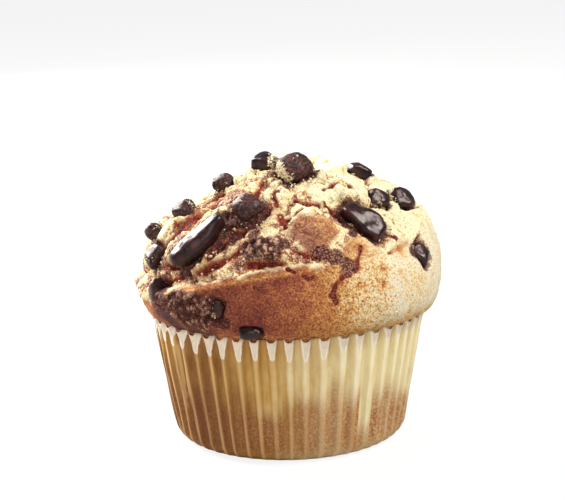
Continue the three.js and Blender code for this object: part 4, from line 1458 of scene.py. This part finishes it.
def crumb_seats():
    """Crumbs' places on the crust and chunks: seat, direction out, stains and painted shadow, lump.
    """
    chance = np.clip(crag + 0.8 * lump, 0, 1) * (1 - seat) * (ON_CRUST + ON_HEAP * bank)
    chosen = random.choice(len(crown_xyz), CRUMBS, replace=False, p=chance / chance.sum())
    seats = [(crown_xyz[i], normal[i], 0.6 * stain_and_shade[i], lump[i]) for i in chosen]
    for number, (skin, middle, dust) in enumerate(chunk_skins, start=1):
        count = CHUNK_CRUMBS.get(number, CHUNK_CRUMBS_ELSEWHERE)
        chance = smooth((dust - 0.15) / 0.3) + 0.02
        for i in random.choice(len(skin), count, replace=False, p=chance / chance.sum()):
            out = (skin[i] - middle) / np.linalg.norm(skin[i] - middle)
            seats.append((skin[i], out, 0.0, 0.0))
    return seats


def scatter_crumbs():
    grain, grain_faces = crumb_mesh()
    points, faces, masks = [], [], {}
    for k, (spot, out, dark, coated) in enumerate(crumb_seats()):
        size = mix(CRUMB_SMALLEST, CRUMB_LARGEST, random.random() ** SMALL_POWER)
        ragged = random.uniform(SHAPE_FROM, SHAPE_TO, (len(grain), 1))
        squashed = random.uniform(SHAPE_FROM, SHAPE_TO, 3)
        points.append(grain * ragged * size * squashed + spot + out * size * STANDS_OUT)
        faces.append(grain_faces + k * len(grain))
        values = {
            "bake_and_shade": 0.7 * random.random() ** 2,
            "crag": 1.0,
            "hollow": 0.5 * random.random() ** 3,
            "tip": random.random(),
            "groove": 0.0,
            "stain_and_shade": dark,
            "lump": coated,
            "beaded": 0.0,
        }
        for key, value in values.items():
            masks.setdefault(key, []).extend([value] * len(grain))
    return np.concatenate(points), np.concatenate(faces).tolist(), masks


crumb_points, crumb_faces, crumb_masks = scatter_crumbs()
crumbs = mesh_piece("crust_crumbs", crumb_points, crumb_faces, crumb_masks)
crumbs.data.materials.append(baked_crumb)
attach(crumbs, "root")

# ---- Floor, light and camera ----
# A plain white sweep under four soft studio lights: the key stands high on the right, two
# others behind on the left draw the edges and gloss, and a weak one fills in the front.
FLOOR_SIZE = 6.0
# The floor's colour for the light that falls on it, and for the camera, which also sees it glow.
FLOOR_COLOURS = (0.46, 0.44, 0.41, 1), (0.14, 0.14, 0.14, 1)
FLOOR_GLOW = 0.86
# Name, place and width in metres, watts and colour of each light.
LIGHTS = [
    ("key", (0.34, -0.15, 0.47), 0.26, 3.2, (1.0, 0.96, 0.90)),
    ("rim", (-0.40, 0.24, 0.40), 0.26, 6.2, (1.0, 0.98, 0.96)),
    ("edge", (-0.30, 0.50, 0.22), 0.30, 3.0, (1.0, 0.97, 0.97)),
    ("fill", (-0.10, -0.60, 0.22), 0.40, 1.0, (1.0, 0.95, 0.88)),
]
LIGHTS_AIM = (0, 0, 0.045)
# The white round the sweep: how strongly it lights the muffin, and how bright it looks.
WORLD_LIGHT, WORLD_SHOWN = 0.24, 1.0


def make_floor():
    half = FLOOR_SIZE / 2
    mesh = bpy.data.meshes.new("floor")
    mesh.from_pydata([(-half, -half, 0), (half, -half, 0), (half, half, 0), (-half, half, 0)], [],
                     [(0, 1, 2, 3)])
    made = bpy.data.objects.new("floor", mesh)
    bpy.context.scene.collection.objects.link(made)
    white, tree, shader = new_material("white_sweep")
    shown = node(tree, "ShaderNodeLightPath").outputs["Is Camera Ray"]
    tree.links.new(blend(tree, shown, *FLOOR_COLOURS), shader.inputs["Base Color"])
    shader.inputs["Roughness"].default_value = 0.9
    shader.inputs["Specular IOR Level"].default_value = 0.0
    shader.inputs["Emission Color"].default_value = (1, 1, 1, 1)
    tree.links.new(times(tree, shown, FLOOR_GLOW), shader.inputs["Emission Strength"])
    mesh.materials.append(white)
    return made


def area_light(name, place, size, watts, colour):
    lamp = bpy.data.lights.new(name, "AREA")
    lamp.shape = "DISK"
    lamp.size = size
    lamp.energy = watts
    lamp.color = colour
    made = bpy.data.objects.new(name, lamp)
    made.location = place
    made.rotation_mode = "QUATERNION"
    made.rotation_quaternion = (Vector(LIGHTS_AIM) - Vector(place)).to_track_quat("-Z", "Y")
    bpy.context.scene.collection.objects.link(made)


make_floor()
for name, place, size, watts, colour in LIGHTS:
    area_light(name, place, size, watts, colour)

world = bpy.data.worlds.new("studio")
world.use_nodes = True
background = world.node_tree.nodes["Background"]
background.inputs["Color"].default_value = (1, 1, 1, 1)
shown = node(world.node_tree, "ShaderNodeLightPath").outputs["Is Camera Ray"]
light = spread(world.node_tree, shown, 0.0, 1.0, WORLD_LIGHT, WORLD_SHOWN)
world.node_tree.links.new(light, background.inputs["Strength"])
scene = bpy.context.scene
scene.world = world
scene.view_settings.view_transform = "Standard"
scene.view_settings.look = "None"

CAMERA_DISTANCE = 0.45
CAMERA_ELEVATION, CAMERA_PITCH, CAMERA_YAW, CAMERA_ROLL = 18.49, 13.13, -0.13, -1.52
CAMERA_LENS = 119.9


def make_camera():
    elevation, pitch, yaw, roll = (
        math.radians(a) for a in (CAMERA_ELEVATION, CAMERA_PITCH, CAMERA_YAW, CAMERA_ROLL)
    )
    forward = Vector((
        math.sin(yaw) * math.cos(pitch), math.cos(yaw) * math.cos(pitch), -math.sin(pitch)
    ))
    level = Vector((math.cos(yaw), -math.sin(yaw), 0))
    up = level.cross(forward)
    right = math.cos(roll) * level + math.sin(roll) * up
    over = -math.sin(roll) * level + math.cos(roll) * up
    data = bpy.data.cameras.new("camera")
    data.lens = CAMERA_LENS
    data.sensor_width = 36.0
    data.clip_start, data.clip_end = 0.01, 20
    made = bpy.data.objects.new("camera", data)
    made.matrix_world = Matrix((right, over, -forward)).transposed().to_4x4()
    back = Vector((0, -math.cos(elevation), math.sin(elevation)))
    made.location = CAMERA_DISTANCE * back
    bpy.context.scene.collection.objects.link(made)
    return made


scene.camera = make_camera()
